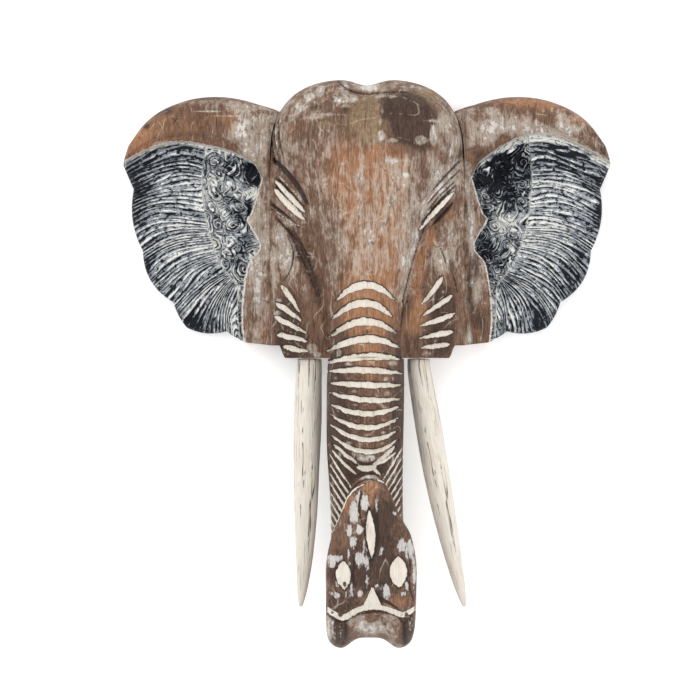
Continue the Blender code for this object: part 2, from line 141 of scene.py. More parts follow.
def kept(piece, name):
    values = np.empty(len(piece.data.vertices), np.float32)
    piece.data.attributes[name].data.foreach_get("value", values)
    return values.astype(float)


def edit(piece):
    bpy.ops.object.select_all(action="DESELECT")
    piece.select_set(True)
    bpy.context.view_layer.objects.active = piece
    bpy.ops.object.mode_set(mode="EDIT")
    bpy.ops.mesh.select_mode(type="VERT")
    bpy.ops.mesh.select_all(action="DESELECT")


def leave_edit():
    bpy.ops.mesh.select_all(action="SELECT")
    bpy.ops.mesh.normals_make_consistent(inside=False)
    bpy.ops.object.mode_set(mode="OBJECT")


def close_back(piece):
    """Pull the front's open edge down to the table and close the flat back."""
    edit(piece)
    bpy.ops.mesh.select_non_manifold()
    bpy.ops.mesh.extrude_region_move()
    bpy.ops.transform.resize(value=(1, 1, 0), center_override=(0, 0, 0))
    bpy.ops.mesh.edge_face_add()
    leave_edit()


# %% [markdown]
# The head's front is one surface over x and y: a broad forehead ridge that narrows down into the
# trunk, softly joined to the lower cheeks, and rounded off towards the domed outline. The tables
# hold its sections from the cheeks' underside upward.

# %% Form of the head
FOREHEAD = (
    (0, 32.5, 102, 44, 2), (30, 33.5, 99.5, 44, 2), (60, 36.5, 96, 44, 2), (90, 43, 92, 43, 2.1),
    (118, 51, 89.5, 41, 2.2), (145, 61, 87.5, 39, 2.4), (172, 78, 84.5, 36, 2.6), (198, 87, 80, 33, 2.7),
    (225, 87, 73, 30, 2.7), (252, 87, 64, 28, 2.7),
)
CHEEK = (
    (0, 53), (25, 58), (50, 58), (72, 53), (90, 50), (110, 55), (135, 61), (155, 59), (178, 48),
    (205, 38),
)
BOARD_EDGE = 24


def dome_top(x):
    """Height y of the outline: two lobes with a notch between."""
    share = np.clip(np.abs(x) / HEAD_HALF, 0, 1)
    lobes = (1 - share ** DOME_POWER) ** (1 / DOME_POWER)
    return DOME_BASE + DOME_RISE * lobes - 5.5 * np.exp(-(x / 14.0) ** 2)


def head_bottom(x):
    """Height y of the underside, which rises at its two lower corners."""
    return HEAD_BOTTOM + 11 * ramp((np.abs(x) - HEAD_HALF + 14) / 6)


def head_height(x, y):
    """Height z of the front: ridge and cheeks, then the rounding towards the outline."""
    half, front, foot, power = np.moveaxis(along(FOREHEAD, y), -1, 0)
    share = np.clip(np.abs(x + 0.8) / half, 0, 1)
    ridge = foot + (front - foot) * np.sqrt(1 - share ** power)
    ridge = ridge + 3.0 * np.exp(-((np.abs(x) - 40) / 26.0) ** 2 - ((y - 222) / 26.0) ** 2)
    ridge = ridge - 9.0 * np.exp(-(x / 11.0) ** 2) * ramp((y - 205) / 40.0)
    cheek = along(CHEEK, y)[..., 0] - 9.0 * ramp((np.abs(x) - 58) / 34.0)
    z = 3.0 * np.logaddexp(ridge / 3.0, cheek / 3.0)
    inward = np.clip((dome_top(x) - y) / 34.0, 0, 1)
    return BOARD_EDGE + (z - BOARD_EDGE) * np.sqrt(1 - (1 - inward) ** 2.2)


# %% The head board
board, u, v = grid("board", 168, 236)
wide = 2 * u - 1
board_x = HEAD_HALF * (0.5 * wide + 0.5 * np.sin(math.pi / 2 * wide))
low = head_bottom(board_x)
board_y = low + (1 - (1 - v) ** 1.2) * (dome_top(board_x) - low)
place(board, np.stack((board_x, board_y, head_height(board_x, board_y)), -1))
close_back(board)
print("head board", len(board.data.polygons), "faces")

# %% [markdown]
# The trunk is a tube along a middle line that runs down, turns forward and comes back up, like a
# letter J seen from the side. A grid is rolled into rings: `reach` is the distance along the line
# and `turn` the angle round it, 0 on the side that faces the viewer above the bend. Each row of the
# table holds y, z, half width, half thickness, x, groove and squareness of one section. Where the
# trunk leaves the board it shrinks by SEAM, so that the board's surface covers its end.

# %% Form of the trunk
TRUNK = (
    (26.8, 66, 31.5, 32.5, -1, 0, 2.25), (1.8, 67.7, 32.9, 34.2, -1.2, 0, 2.25),
    (-1.2, 67.9, 33, 34.4, -1.2, 0, 2.25), (-18, 69, 33.4, 35.5, -1.5, 0, 2.25),
    (-45, 66, 33.4, 35, -1.8, 0, 2.25), (-75, 58.5, 33, 33, -1.9, 0, 2.25),
    (-105, 49, 32, 30.5, -1, 0, 2.25), (-135, 42, 31.6, 28, 0, 0, 2.3), (-165, 39.5, 32.8, 26, 1, 0, 2.4),
    (-190, 42.5, 35, 25.5, 1.6, 0.3, 2.7), (-213, 54.5, 36.6, 25, 1.8, 1, 3.3),
    (-222.5, 72, 37.4, 24.5, 2.2, 1, 3.8), (-214.5, 92, 38.2, 22, 2.8, 0.9, 3.8),
    (-193, 103, 38.4, 19.5, 3.1, 0, 3.2), (-167, 107.5, 38, 15.5, 3.2, 0, 2.7),
    (-146, 110.5, 33.5, 12.5, 3.2, 0, 2.4), (-125, 112.5, 23.6, 9.5, 2, 0, 2.3),
    (-108, 113.5, 17, 7.5, 1.4, 0, 2.2), (-98, 114, 9.5, 5.5, 1.4, 0, 2.1),
    (-94, 114, 3.5, 3.5, 2.5, 0, 2),
)
steps = [math.hypot(b[0] - a[0], b[1] - a[1]) for a, b in zip(TRUNK, TRUNK[1:])]
REACH = np.concatenate(((0,), np.cumsum(steps)))
LOWEST_ROW = 11
BEND = REACH[LOWEST_ROW]
SEAM = 2.0


def trunk_point(s, angle):
    """Points of the trunk's skin at distances s along its line and angles round it."""
    table = [(reach, *row) for reach, row in zip(REACH, TRUNK)]
    y, z, half, thick, x, groove, square = np.moveaxis(along(table, s), -1, 0)
    before, after = along(table, s - 0.5), along(table, s + 0.5)
    run_y, run_z = after[..., 0] - before[..., 0], after[..., 1] - before[..., 1]
    length = np.hypot(run_y, run_z)
    seam = SEAM * ramp((y - HEAD_BOTTOM + 1.2) / 1.2) * (z < 70)
    side, out = np.sin(angle), np.cos(angle)
    round_off = (np.abs(side) ** square + np.abs(out) ** square) ** (-1 / square)
    across = (half - seam) * side * round_off
    depth = (thick - seam) * out * round_off
    depth = depth + 11.0 * groove * np.exp(-(across / 19.0) ** 4) * (out < 0)
    return np.stack((x + across, y + depth * run_z / length, z - depth * run_y / length), -1)


# %% The trunk
trunk, u, v = grid("trunk", 132, 440)
place(trunk, trunk_point(v * REACH[-1], u * 2 * math.pi))
keep(trunk, "reach", v * REACH[-1])
keep(trunk, "turn", u * 2 * math.pi)
edit(trunk)
bpy.ops.mesh.select_all(action="SELECT")
bpy.ops.mesh.remove_doubles(threshold=0.00001)
bpy.ops.mesh.fill_holes(sides=0)
leave_edit()
print("trunk", round(REACH[-1]), "mm along its middle line,", len(trunk.data.polygons), "faces")

# %% [markdown]
# The carver's lines are strokes: cut slots with cream paint in them, raised cream lids, and bare
# dark grooves. `stroke` measures how far inside such a spindle-shaped stroke each point of the mesh
# lies, in millimetres. The same number then sinks the surface and places the paint, so the paint
# follows the cut exactly, as it does when a brush is drawn along a groove.

# %% Strokes
STROKE_PARTS = 12
OUTSIDE, BARE = -50.0, -9.0


def stroke(x, y, points, half, taper, lean=1.0):
    """How far inside a spindle-shaped stroke points lie; a low lean makes its start the thick end."""
    line = through(points, np.linspace(0, 1, STROKE_PARTS + 1))
    best = np.full(np.shape(x), OUTSIDE)
    for k in range(STROKE_PARTS):
        (ax, ay), (bx, by) = line[k], line[k + 1]
        run = (bx - ax) ** 2 + (by - ay) ** 2
        t = np.clip(((x - ax) * (bx - ax) + (y - ay) * (by - ay)) / run, 0, 1)
        gap = np.hypot(x - ax - (bx - ax) * t, y - ay - (by - ay) * t)
        swell = np.sin(math.pi * np.clip((k + t) / STROKE_PARTS, 0.01, 0.99) ** lean) ** taper
        best = np.maximum(best, half * swell - gap)
    return best


def strokes(x, y, table):
    """The deepest of several strokes, each a row (points, half width, taper, lean)."""
    found = np.full(np.shape(x), OUTSIDE)
    for row in table:
        found = np.maximum(found, stroke(x, y, *row))
    return found


def dabs(x, y, table):
    """The same for round dabs of paint, each a row (x, y, half width, half height)."""
    found = np.full(np.shape(x), OUTSIDE)
    for mx, my, wide, high in table:
        away = np.hypot((x - mx) / wide, (y - my) / high)
        found = np.maximum(found, (1 - away) * min(wide, high))
    return found


def arc(left, middle, right):
    """Seven points of the bow through an end, its middle and the other end."""
    t = np.linspace(-1, 1, 7)[:, None]
    left, middle, right = (np.array(p, float) for p in (left, middle, right))
    return [tuple(p) for p in middle + (right - left) / 2 * t + ((left + right) / 2 - middle) * t * t]


# %% [markdown]
# Thirteen cream slots cross the trunk, arched over the forehead and hanging lower and lower further
# down, and the last one is open in the middle, where short strokes cross in a knot. Below them, thin
# slanting cuts run down the trunk's sides behind its tip, one every HERRING_STEP.

# %% Slots across the trunk
BANDS = (
    ((-27.7, 53.6), (-2.1, 67.3), (23.5, 55.3)), ((-31.1, 38.2), (-3.5, 51.9), (21.8, 39.9)),
    ((-33.6, 22.9), (-3.5, 36.1), (25.1, 26.3)), ((-35.9, 10.1), (-2.1, 21.2), (27.7, 13.5)),
    ((-36.2, 0.7), (-1, 6.2), (29.4, 4)), ((-34.5, -6.9), (-2.1, -5.2), (30.2, -8.6)),
    ((-33.6, -16.3), (-2.1, -18), (30.2, -18.4)), ((-33, -24.8), (-2.1, -30.8), (29, -30)),
    ((-32.8, -34.2), (-2.1, -42.7), (28.5, -36.1)), ((-32.8, -43.6), (-2.1, -54.7), (27.7, -46.5)),
    ((-32, -52.3), (-1.5, -65.1), (27.1, -56.5)), ((-31.1, -61.7), (-1, -75.6), (27.1, -65.2)),
)
BAND_HALF = (3.3, 3.3, 3.3, 3.2, 3.0, 2.8, 2.7, 2.5, 2.5, 2.4, 2.3, 2.2)
trunk_slots = [(arc(*band), half, 0.55) for band, half in zip(BANDS, BAND_HALF)]
trunk_slots += [
    (((-30.3, -68.5), (-20, -77.5), (-7, -86.5)), 1.7, 0.5),
    (((24.5, -70.5), (17, -78), (5, -86.5)), 1.7, 0.5),
]
knot = [
    (((-9, -88.5), (-0.8, -90), (8, -88)), 2.8, 0.5),
    (((-30.6, -74.5), (-21, -85), (-9.5, -95)), 1.3, 0.4), (((25, -76), (14, -84), (2.8, -87)), 1.2, 0.4),
    (((2.8, -87.5), (7, -91.5), (11.7, -96)), 1.5, 0.5),
]
HERRING_STEP, HERRING_PAIRS = 8.2, 11
herring = []
for k in range(HERRING_PAIRS):
    fall = HERRING_STEP * k
    herring.append((((-33, -78 - fall), (-24, -92 - fall), (-13, -108 - fall)), 0.95, 0.4))
    herring.append((((31, -72 - fall), (23, -85 - fall), (13, -101 - fall)), 0.95, 0.4))
print(len(trunk_slots), "slots and", len(herring), "side cuts")

# %% [markdown]
# Each cheek has five wedge-shaped slots that fan out from the trunk. Each eye is a long slit between
# two raised lids, with thin pale lines around it, and bare dark grooves part it from brow and cheek.
# All lids are cream but one: the right eye's upper lid was left as bare wood.

# %% Slots on the cheeks, and the eyes
CHEEK_SLOTS = (
    ((-74.5, 67.7), (-67.3, 58.1), (-58.5, 44.5)), ((-79.3, 52.6), (-68.5, 45.4), (-56.5, 36.6)),
    ((-80.5, 40.6), (-68.5, 34.5), (-51.7, 25.8)), ((-77.8, 24.9), (-64.9, 22.4), (-50.5, 18.8)),
    ((-73.6, 14.5), (-62.5, 12.2), (-50.5, 10)), ((65.8, 75.2), (57.4, 63.4), (46.6, 50.5)),
    ((73.8, 58.6), (62.2, 50.9), (46.6, 40.8)), ((75.8, 43), (62.2, 38), (45.4, 32.2)),
    ((74.6, 27.8), (59.8, 24.6), (45.4, 22.2)), ((70.8, 16.4), (58.6, 15), (46.6, 13.2)),
)
slots = trunk_slots + [(points, 2.35, 0.5, 0.62) for points in CHEEK_SLOTS]
lids = [
    (((-79.6, 158.8), (-67.4, 145.2), (-54.2, 131.4)), 2.3, 0.35),
    (((-80.2, 151.2), (-68.4, 138), (-54.6, 124.8)), 2.7, 0.35),
    (((78, 163.4), (63, 148.6), (46, 126)), 2.4, 0.35),
    (((75, 148.6), (61.6, 134.6), (44.8, 116)), 2, 0.35),
]
painted_lids = lids[:2] + lids[3:]
pale_lines = [
    (((-80.4, 166.5), (-66.4, 152.2), (-52.6, 136.4)), 0.7, 0.4),
    (((-84.8, 137.4), (-74.7, 128.6), (-63.4, 121), (-53.4, 118.2)), 0.75, 0.3),
    (((-80, 206), (-78.6, 190), (-75.6, 176)), 0.8, 0.3),
    (((-84, 205), (-82.4, 190), (-79, 176)), 0.7, 0.3),
    (((70.5, 161.5), (56.5, 146), (44.5, 128)), 0.7, 0.4),
]
# Bare grooves, coloured dark as painted shade.
cuts = [
    (((-83.8, 180), (-71, 166.6), (-60, 152.5), (-51.5, 137.5)), 2.1, 0.45),
    (((-79.5, 154.6), (-68, 141.4), (-55.5, 127.9)), 0.8, 0.4),
    (((-79.5, 162.6), (-67, 149), (-54, 135.2)), 0.6, 0.4),
    (((-84.2, 139.6), (-73.5, 131), (-60.2, 120.4)), 0.9, 0.5, 0.8),
    (((-84, 136), (-72, 126.4), (-57.2, 117)), 0.45, 0.4),
    (((-80, 127.5), (-69.5, 116), (-61, 107.5)), 0.9, 0.5),
    (((-70, 121), (-61.5, 101), (-51, 80), (-43.5, 60)), 0.4, 0.5),
    (((-64, 116), (-54.5, 99), (-46.5, 77), (-39.5, 54)), 0.3, 0.3),
    (((76.5, 154.5), (62.6, 140.5), (46.5, 121)), 0.8, 0.4),
    (((77, 159), (62, 144.5), (48.5, 128)), 0.4, 0.4), (((81, 169), (66, 154), (50.5, 137)), 0.5, 0.4),
    (((74.6, 139.6), (66.6, 130.2), (55.5, 118.9)), 1.3, 0.6),
    (((36, 60), (30.5, 38), (26.6, 18)), 0.3, 0.3), (((40.5, 92), (33, 60), (28.5, 26)), 0.35, 0.3),
    (((56, 134.6), (47.5, 112), (38.5, 84), (30, 52)), 0.3, 0.3),
    (((82, 178), (68.5, 163), (56, 149)), 0.6, 0.4), (((69, 86), (66.5, 94), (62.5, 104)), 0.3, 0.5),
    (((73, 82), (76.5, 72), (78.5, 62)), 0.25, 0.5), (((-84.4, 212), (-83.4, 194), (-80, 176)), 0.8, 0.4),
    (((-81.6, 214), (-80.4, 196), (-76.4, 176)), 0.6, 0.4),
    (((-77.6, 214), (-76.6, 196), (-73, 178)), 0.5, 0.4),
    (((-20, 238), (-10, 235.2), (2, 234.6), (16, 235.4), (34, 235)), 0.55, 0.3),
    (((-26, 247), (-19, 240), (-9, 235.5)), 0.5, 0.3),
    (((-70, 112), (-64.5, 98), (-66, 84), (-72, 72)), 0.4, 0.4),
]
print(len(slots), "slots,", len(lids), "lids and", len(cuts), "bare grooves")

# %% [markdown]
# The trunk's tip turns up and shows its underside: three cream almonds, and under them a forked
# cream band that peaks in the middle. A double line follows its pointed edge.

# %% Carving on the tip
ALMONDS = (
    (((1.1, -120.6), (2.6, -143), (4.1, -167.4)), 3.9, 1.1),
    (((-20.8, -165.4), (-20.8, -178.3), (-19.8, -191.2)), 6.5, 1.2),
    (((26.4, -162), (26.2, -175.5), (27.1, -190)), 7.5, 1.2),
)
FORK = (
    (((5.5, -206.2), (-2, -206.9), (-9.4, -209.7), (-18.6, -214.8), (-26.4, -213.4),
      (-39, -206.5)), 2.9, 0.12),
    (((3.5, -206.4), (14.6, -207.6), (21.7, -210.2), (28.8, -212.6), (34, -211.5),
      (43, -206.5)), 2.6, 0.12),
)
PEAK = (3.9, -186.8, 0.43, -207)
TIP_LINES = (
    (((-38, -158), (-28.5, -140), (-20.8, -122.3), (-16.2, -111.8), (-10.8, -106),
      (-2.5, -101.2)), 0.75, 0.15),
    (((42, -156), (33, -136.1), (28.4, -125.4), (23.7, -115.4), (15.3, -102), (8, -98)), 0.75, 0.15),
)
TIP_CUTS = (
    (((-19.5, -118), (-13.5, -106.5), (-5.5, -99), (2, -97.4), (9, -99)), 0.6, 0.2),
    (((6.4, -122), (8.2, -142), (6.4, -162)), 1.6, 0.6),
    (((-5.2, -108), (-7.2, -118), (-6, -130), (-3, -140)), 0.6, 0.3),
    (((-1.4, -124), (-2.6, -142), (-1.2, -158), (3.2, -170)), 0.55, 0.2),
    (((-12.4, -160), (-11.6, -172), (-12, -184), (-11.2, -200)), 0.55, 0.2),
    (((34.2, -158), (36, -172), (35.2, -186), (38.8, -200)), 0.55, 0.2),
    (((7, -191.5), (11, -198.2), (18.9, -202.4), (27, -207.6)), 1.5, 0.7, 0.7),
    (((12.8, -188), (11.9, -193.5), (10.5, -197)), 0.6, 0.4),
    (((-18.6, -218.4), (-9.4, -213.2), (0.5, -210.6), (9.7, -209.9), (18.2, -211.5), (25.2, -214.2),
      (31.5, -221)), 0.6, 0.15), (((-35.5, -212), (-27, -217.6), (-18.6, -218.4)), 0.6, 0.2),
    (((38.5, -212.5), (34.5, -217), (31, -220)), 0.7, 0.3),
    (((-18.8, -218), (-18.4, -228.5), (-21.4, -241.3)), 0.9, 0.3),
    (((-27.8, -217.2), (-28.5, -228.5), (-30.6, -238)), 0.6, 0.3),
    (((30.9, -220), (31.8, -232), (32.3, -240)), 1.5, 0.4),
    (((13.5, -213.5), (11.5, -218), (16.5, -223)), 0.35, 0.3),
)

# %% [markdown]
# Where the whitewash stays, where the wood is stained dark and where it glows orange is different
# all over the mask, and a few of the dark patches are painted shade in the valley under the left eye.
# Each patch is a soft oval: middle x and y, half widths, and strength. They only say how much; the
# noise in the material makes the real edges of the patches. DABS are small dabs of white that were
# rubbed thin again, so on board and trunk they only add to the wash.

# %% Patches of whitewash, soot and painted shade, and warm stain
WASH = (
    (-72, 215, 12, 28, 0.25), (0, 243, 10, 6, 0.7), (45, 242, 30, 7, 0.15), (62, 205, 10, 14, 0.35),
    (76, 190, 9, 40, 0.3), (-62, 180, 8, 22, 0.12), (-6, 150, 16, 40, 0.1), (24, 150, 12, 30, 0.28),
    (38, 120, 6, 36, 0.32), (-2, 100, 14, 30, 0.28), (-12, 74, 12, 20, 0.15), (30, 84, 6, 22, 0.4),
    (25, 60, 6, 10, 0.3), (-28, 96, 10, 40, 0.12), (-68, 92, 7, 16, 0.5), (-80, 60, 4, 40, 0.3),
    (72, 96, 9, 24, 0.2), (80, 60, 5, 30, 0.2), (60, 160, 10, 16, 0.3), (-58, 70, 6, 16, 0.3),
    (-55, 40, 8, 16, 0.1), (64, 132, 9, 8, -0.8), (-52, 98, 9, 14, -0.7), (-42, 60, 5, 22, -0.4),
    (-38, 30, 7, 14, -0.5), (38, 34, 9, 14, -0.4), (46, 48, 6, 6, -0.5), (34, 214, 20, 22, -0.6),
    (-66, 32, 20, 38, -0.6), (62, 38, 20, 38, -0.6), (0, 34, 36, 28, -0.6), (0, 66, 24, 8, -0.2),
    (-2, 208, 12, 26, -0.5), (-66, 200, 10, 12, -0.2), (68, 154, 10, 8, 0.6), (58, 146, 9, 9, 0.6),
    (50, 132, 6, 9, 0.5), (40, 98, 4, 7, 0.6), (37, 86, 3, 6, 0.5), (42, 110, 4, 6, 0.5),
    (64, 92, 12, 14, 0.4), (34, 60, 2.6, 24, 0.5), (29, 30, 2.4, 16, 0.4), (55, 108, 5, 9, -0.5),
    (46, 92, 5, 9, -0.5), (-76, 104, 7, 20, 0.35), (-20, 205, 22, 26, -0.15), (54, 232, 14, 10, -0.3),
    (-50, 160, 20, 30, -0.08),
)
# Dark patches: soot and dark stain, and from (-66, 114) down to (-42, 58) painted shade in the valley
# between the left eye and the trunk.
SOOT_AND_SHADE = (
    (20, 223, 10, 11, 0.9), (35, 227, 9, 7, 0.6), (36, 205, 15, 16, 1.6), (47, 213, 11, 12, 1.2),
    (51, 192, 8, 9, 0.7), (-44, 221, 7, 3, 0.5), (-18, 219, 6, 6, 0.5), (-26, 200, 12, 16, 0.18),
    (-60, 186, 14, 22, 0.15), (42, 215, 14, 14, 0.3), (-66, 114, 5, 7, 0.6), (-60, 103, 5.5, 7, 0.65),
    (-55, 93, 6, 7, 0.7), (-50, 83, 6, 7, 0.7), (-45.5, 72, 6, 8, 0.6), (-42, 58, 5, 10, 0.5),
    (-68, 42, 13, 22, 1), (-66, 14, 16, 14, 1), (66, 52, 12, 18, 1.2), (64, 20, 13, 14, 1.1),
    (-36, 30, 6, 24, 0.5), (34, 20, 5, 20, 0.3), (-83, 188, 4, 28, 0.5), (-82, 220, 6, 14, 0.2),
    (68, 134, 7, 6, 0.7), (61, 126, 5, 6, 0.6),
)
WARM = (
    (-4, 158, 26, 26, 0.8), (6, 124, 30, 50, 0.8), (20, 92, 18, 22, 0.5), (-2, 60, 22, 30, 0.7),
    (2, 34, 20, 34, 0.9), (46, 46, 8, 12, 0.8), (39, 34, 8, 9, 0.6), (68, 132, 9, 8, 0.6),
    (-40, 40, 8, 20, 0.3), (44, 76, 6, 16, 0.6), (20, 172, 18, 20, 0.5), (-66, 204, 7, 8, 0.4),
    (55, 108, 5, 9, 0.8), (46, 92, 5, 9, 0.8), (38, 76, 4, 9, 0.7), (-22, 176, 16, 22, 0.35),
)
OCHRE = (
    (-1, 212, 17, 26, 1.2), (54, 233, 14, 12, 1), (-38, 206, 8, 6, 0.9), (-60, 228, 14, 12, 0.7),
    (-30, 236, 14, 10, 0.5), (20, 240, 16, 6, 0.5), (12, 208, 4, 14, 0.6), (70, 200, 10, 20, 0.4),
)
DABS = (
    (-40.8, 236.7, 3.6, 6), (-49.6, 231.7, 4.6, 3.2), (-58.4, 221.6, 3.4, 4), (-19.5, 237, 3, 6.6),
    (-22, 227.5, 5.6, 2.6), (-12, 229, 3, 3.6), (1.8, 240.5, 8.5, 3.4), (11.9, 231.2, 5, 0.9),
    (22.5, 230.6, 5, 1.1), (13.2, 217.9, 1.7, 2.8), (10.7, 207.8, 2.2, 3.2), (12.2, 196.5, 3.2, 4.6),
    (22.6, 192.2, 4.2, 2), (21.6, 174.4, 4.6, 2.4), (45.8, 192.4, 5.4, 4.2), (57, 196.5, 3, 8),
    (54.6, 209.5, 4.4, 0.8), (33.2, 162, 3.2, 2), (-32, 214.4, 9, 0.8), (-18, 222, 3, 1.4),
    (-44, 212, 6, 0.8), (-48.1, 92.9, 1.8, 3.6), (-75.7, 54.5, 2.6, 2), (-76.9, 43.8, 2.6, 2.4),
    (-66.7, 37.2, 1, 1.6), (-74.5, 29.6, 4.2, 1.5), (-65.5, 27, 1.4, 1.3), (-68.5, 18.2, 2.4, 1.3),
    (-62, 17, 1.2, 1.2), (-68.5, 8.4, 1.4, 1.4), (-72.5, 9.5, 1.2, 1.6), (-48.1, 13.2, 5.4, 4.4),
    (-43.5, 8, 3.4, 2.6), (65.8, 62.5, 1.4, 1.8), (64.5, 47.5, 0.9, 2.2), (57, 44.5, 3.4, 1.6),
    (67.8, 51.5, 1.2, 1.2), (63.4, 33, 0.5, 3), (56.2, 28, 0.5, 3), (56.8, 19.2, 0.6, 2.6),
    (72, 35.5, 3, 2.6), (50, 29, 2.4, 1), (52, 8.6, 5, 1.6), (62, 10.4, 0.6, 2), (-28.7, 9.9, 3, 2.4),
    (-17.4, 11.4, 4.2, 1.7), (20.4, 11.2, 3.2, 1.7), (-23.5, 10.4, 1, 2.6),
)


def patches(x, y, table):
    """The sum of soft ovals, each a row (x, y, half width, half height, strength)."""
    found = np.zeros(np.shape(x))
    for mx, my, wide, high, strength in table:
        found += strength * np.exp(-((x - mx) / wide) ** 2 - ((y - my) / high) ** 2)
    return found


# %% Carve the head board
WALL, SLOT_DEPTH, CUT_DEPTH, SHADE_DROP = 1.2, 1.9, 2.0, 0.9
EYE_BALL = (-81.2, 141.5, 3.0, 2.4)


def sink(inside, depth):
    """How far the surface sinks where a stroke lies, with a sloped wall."""
    return depth * ramp((inside + WALL * 0.4) / WALL)


def deepest(where, *insides):
    """The largest of several distances where paint may lie, and bare elsewhere."""
    return np.where(where, np.maximum.reduce(insides), BARE)


def carve(piece, relief, **paint):
    """Move the points along their normals and store the paint's places."""
    place(piece, carving_points(piece) + read(piece, "normal") * np.reshape(relief, (-1, 1)))
    for name, values in paint.items():
        keep(piece, name, values)


def smeared(inside):
    """Extra wash where a dab of paint was rubbed thin."""
    return 0.75 * ramp((inside + 1.4) / 2.6)


def nicked(x, y):
    """Height y with the small nicks that a knife leaves along a slot."""
    return y + 0.2 * np.sin(x / 1.3 + y / 5) + 0.25 * np.sin(x / 3.1 - y / 3)


x, y, z = carving_points(board).T
front = read(board, "normal")[:, 2] > 0.05
slot = strokes(x, nicked(x, y), slots)
# Painted shadow: the slots moved up by SHADE_DROP give a dark band along each slot's steep upper wall.
shade = strokes(x, y - SHADE_DROP, slots)
lid, painted_lid = strokes(x, y, lids), strokes(x, y, painted_lids)
pale = strokes(x, y, pale_lines)
cut = strokes(x, y, cuts)
relief = -sink(slot, SLOT_DEPTH) - sink(cut, CUT_DEPTH) + sink(lid, 1.3) + 0.5 * ramp(pale + 0.5)
ball_x, ball_y, ball_size, ball_rise = EYE_BALL
ball = ball_size - np.hypot(x - ball_x, y - ball_y)
relief += ball_rise * np.sqrt(np.clip(ball / ball_size, 0, 1))
edge = np.clip((dome_top(x) - y) / 12, 0, 1)
# The dark channel holds dark outlines round the slots and painted lids, painted shade in the bare cuts, and
# the painted shadow band above each slot.
carve(board, relief * front * ramp(edge * 3),
      cream=deepest(front, slot, painted_lid, pale - 0.2),
      ink=deepest(front, shade, slot + 0.3, cut + 0.2, painted_lid + 0.5),
      dab=BARE, wash=patches(x, y, WASH) + smeared(dabs(x, y, DABS)) + 0.02,
      soot=patches(x, y, SOOT_AND_SHADE), warm=patches(x, y, WARM), ochre=patches(x, y, OCHRE))
print("board carved, deepest", round(float(relief.min()), 1), "mm")

# %% Paint on the trunk and its tip
TRUNK_WASH = (
    (0, -30, 60, 70, -0.75), (-33, -130, 6, 34, 0.6), (30, -120, 8, 40, -0.1), (0, -82, 20, 8, 0.45),
)
TRUNK_SOOT = (
    (-30, -30, 14, 64, 1), (31, -30, 10, 64, 0.8), (-26, -115, 12, 44, 0.9), (26, -100, 9, 34, 0.6),
    (0, -50, 34, 50, 0.32), (0, -90, 22, 8, 0.6),
)
TRUNK_WARM = ((2, 0, 15, 14, 0.6), (2, -40, 15, 30, 0.25), (32, -120, 8, 40, 0.3))
TRUNK_DABS = (
    (-16.4, -0.2, 4, 2), (21.9, 0.4, 4.8, 2.8), (-25.8, -12.1, 3, 1.7), (-16.3, -12.1, 2.6, 2),
    (15.9, -13.3, 2.6, 2.3), (21.9, -12.7, 1.6, 2.3), (-11.5, -23.4, 4.2, 1.7), (-17.5, -21.6, 3, 0.8),
    (16.5, -25.3, 2.8, 2.6), (-11.5, -34.8, 3.6, 1.2), (14.7, -37.2, 3.4, 1.2), (-10.3, -48.5, 1.8, 1.2),
    (13.5, -47.9, 1.8, 1.3), (-25, -40, 1.4, 1.2), (-12.7, -58.7, 1.4, 1.4), (13.5, -58.7, 2.6, 1.4),
    (-15.7, -67.6, 3, 1.6), (12.3, -67.8, 1.7, 1.2), (-11.5, -76.4, 1.5, 2.6), (-7.5, -77, 1, 2.2),
    (-0.8, -80.6, 7, 3), (16.4, -74.4, 2.2, 3), (-24, -78, 1.4, 3.4), (22, -84, 1.2, 3.6),
)
TIP_WASH = (
    (0, -155, 50, 56, -0.85), (0, -222, 17, 9, 1), (-33, -226, 3, 14, 0.9), (8, -130, 16, 26, -0.3),
    (-1, -95.6, 9, 2.6, 1.3), (37, -170, 4, 26, 0.5), (-22, -226, 4, 12, -0.6), (35, -228, 4, 12, -0.7),
    (-29, -226, 1.2, 12, 0.9), (38, -227, 1, 12, 0.9), (3.3, -216, 4.4, 4, -1.6), (-14, -228, 6, 6, -0.5),
)
TIP_SOOT = (
    (0, -170, 50, 36, 0.45), (10, -140, 7, 22, 1), (18, -122, 9, 14, 0.6), (-10, -176, 24, 12, 0.45),
    (16, -175, 6, 16, 0.6), (28, -142, 10, 16, 0.3), (-24, -228, 8, 15, 1.1), (35, -228, 6, 15, 1.2),
    (4, -236, 20, 5, 0.4), (-26, -203, 14, 7, 0.5), (-14, -104, 5, 8, 0.5), (8, -196, 4, 6, 0.8),
)
TIP_WARM = (
    (-0.1, -105, 7, 5.4, 0.8), (6, -104, 3.4, 4.6, 0.6), (-13.1, -113, 3.4, 3.4, 1.2),
    (-17, -121, 2.6, 6, 1.2), (3, -115, 1.6, 5, 1.2), (-25, -144, 6, 12, 0.3), (26, -200, 14, 7, 0.45),
    (12, -161, 4, 4, 0.3),
)
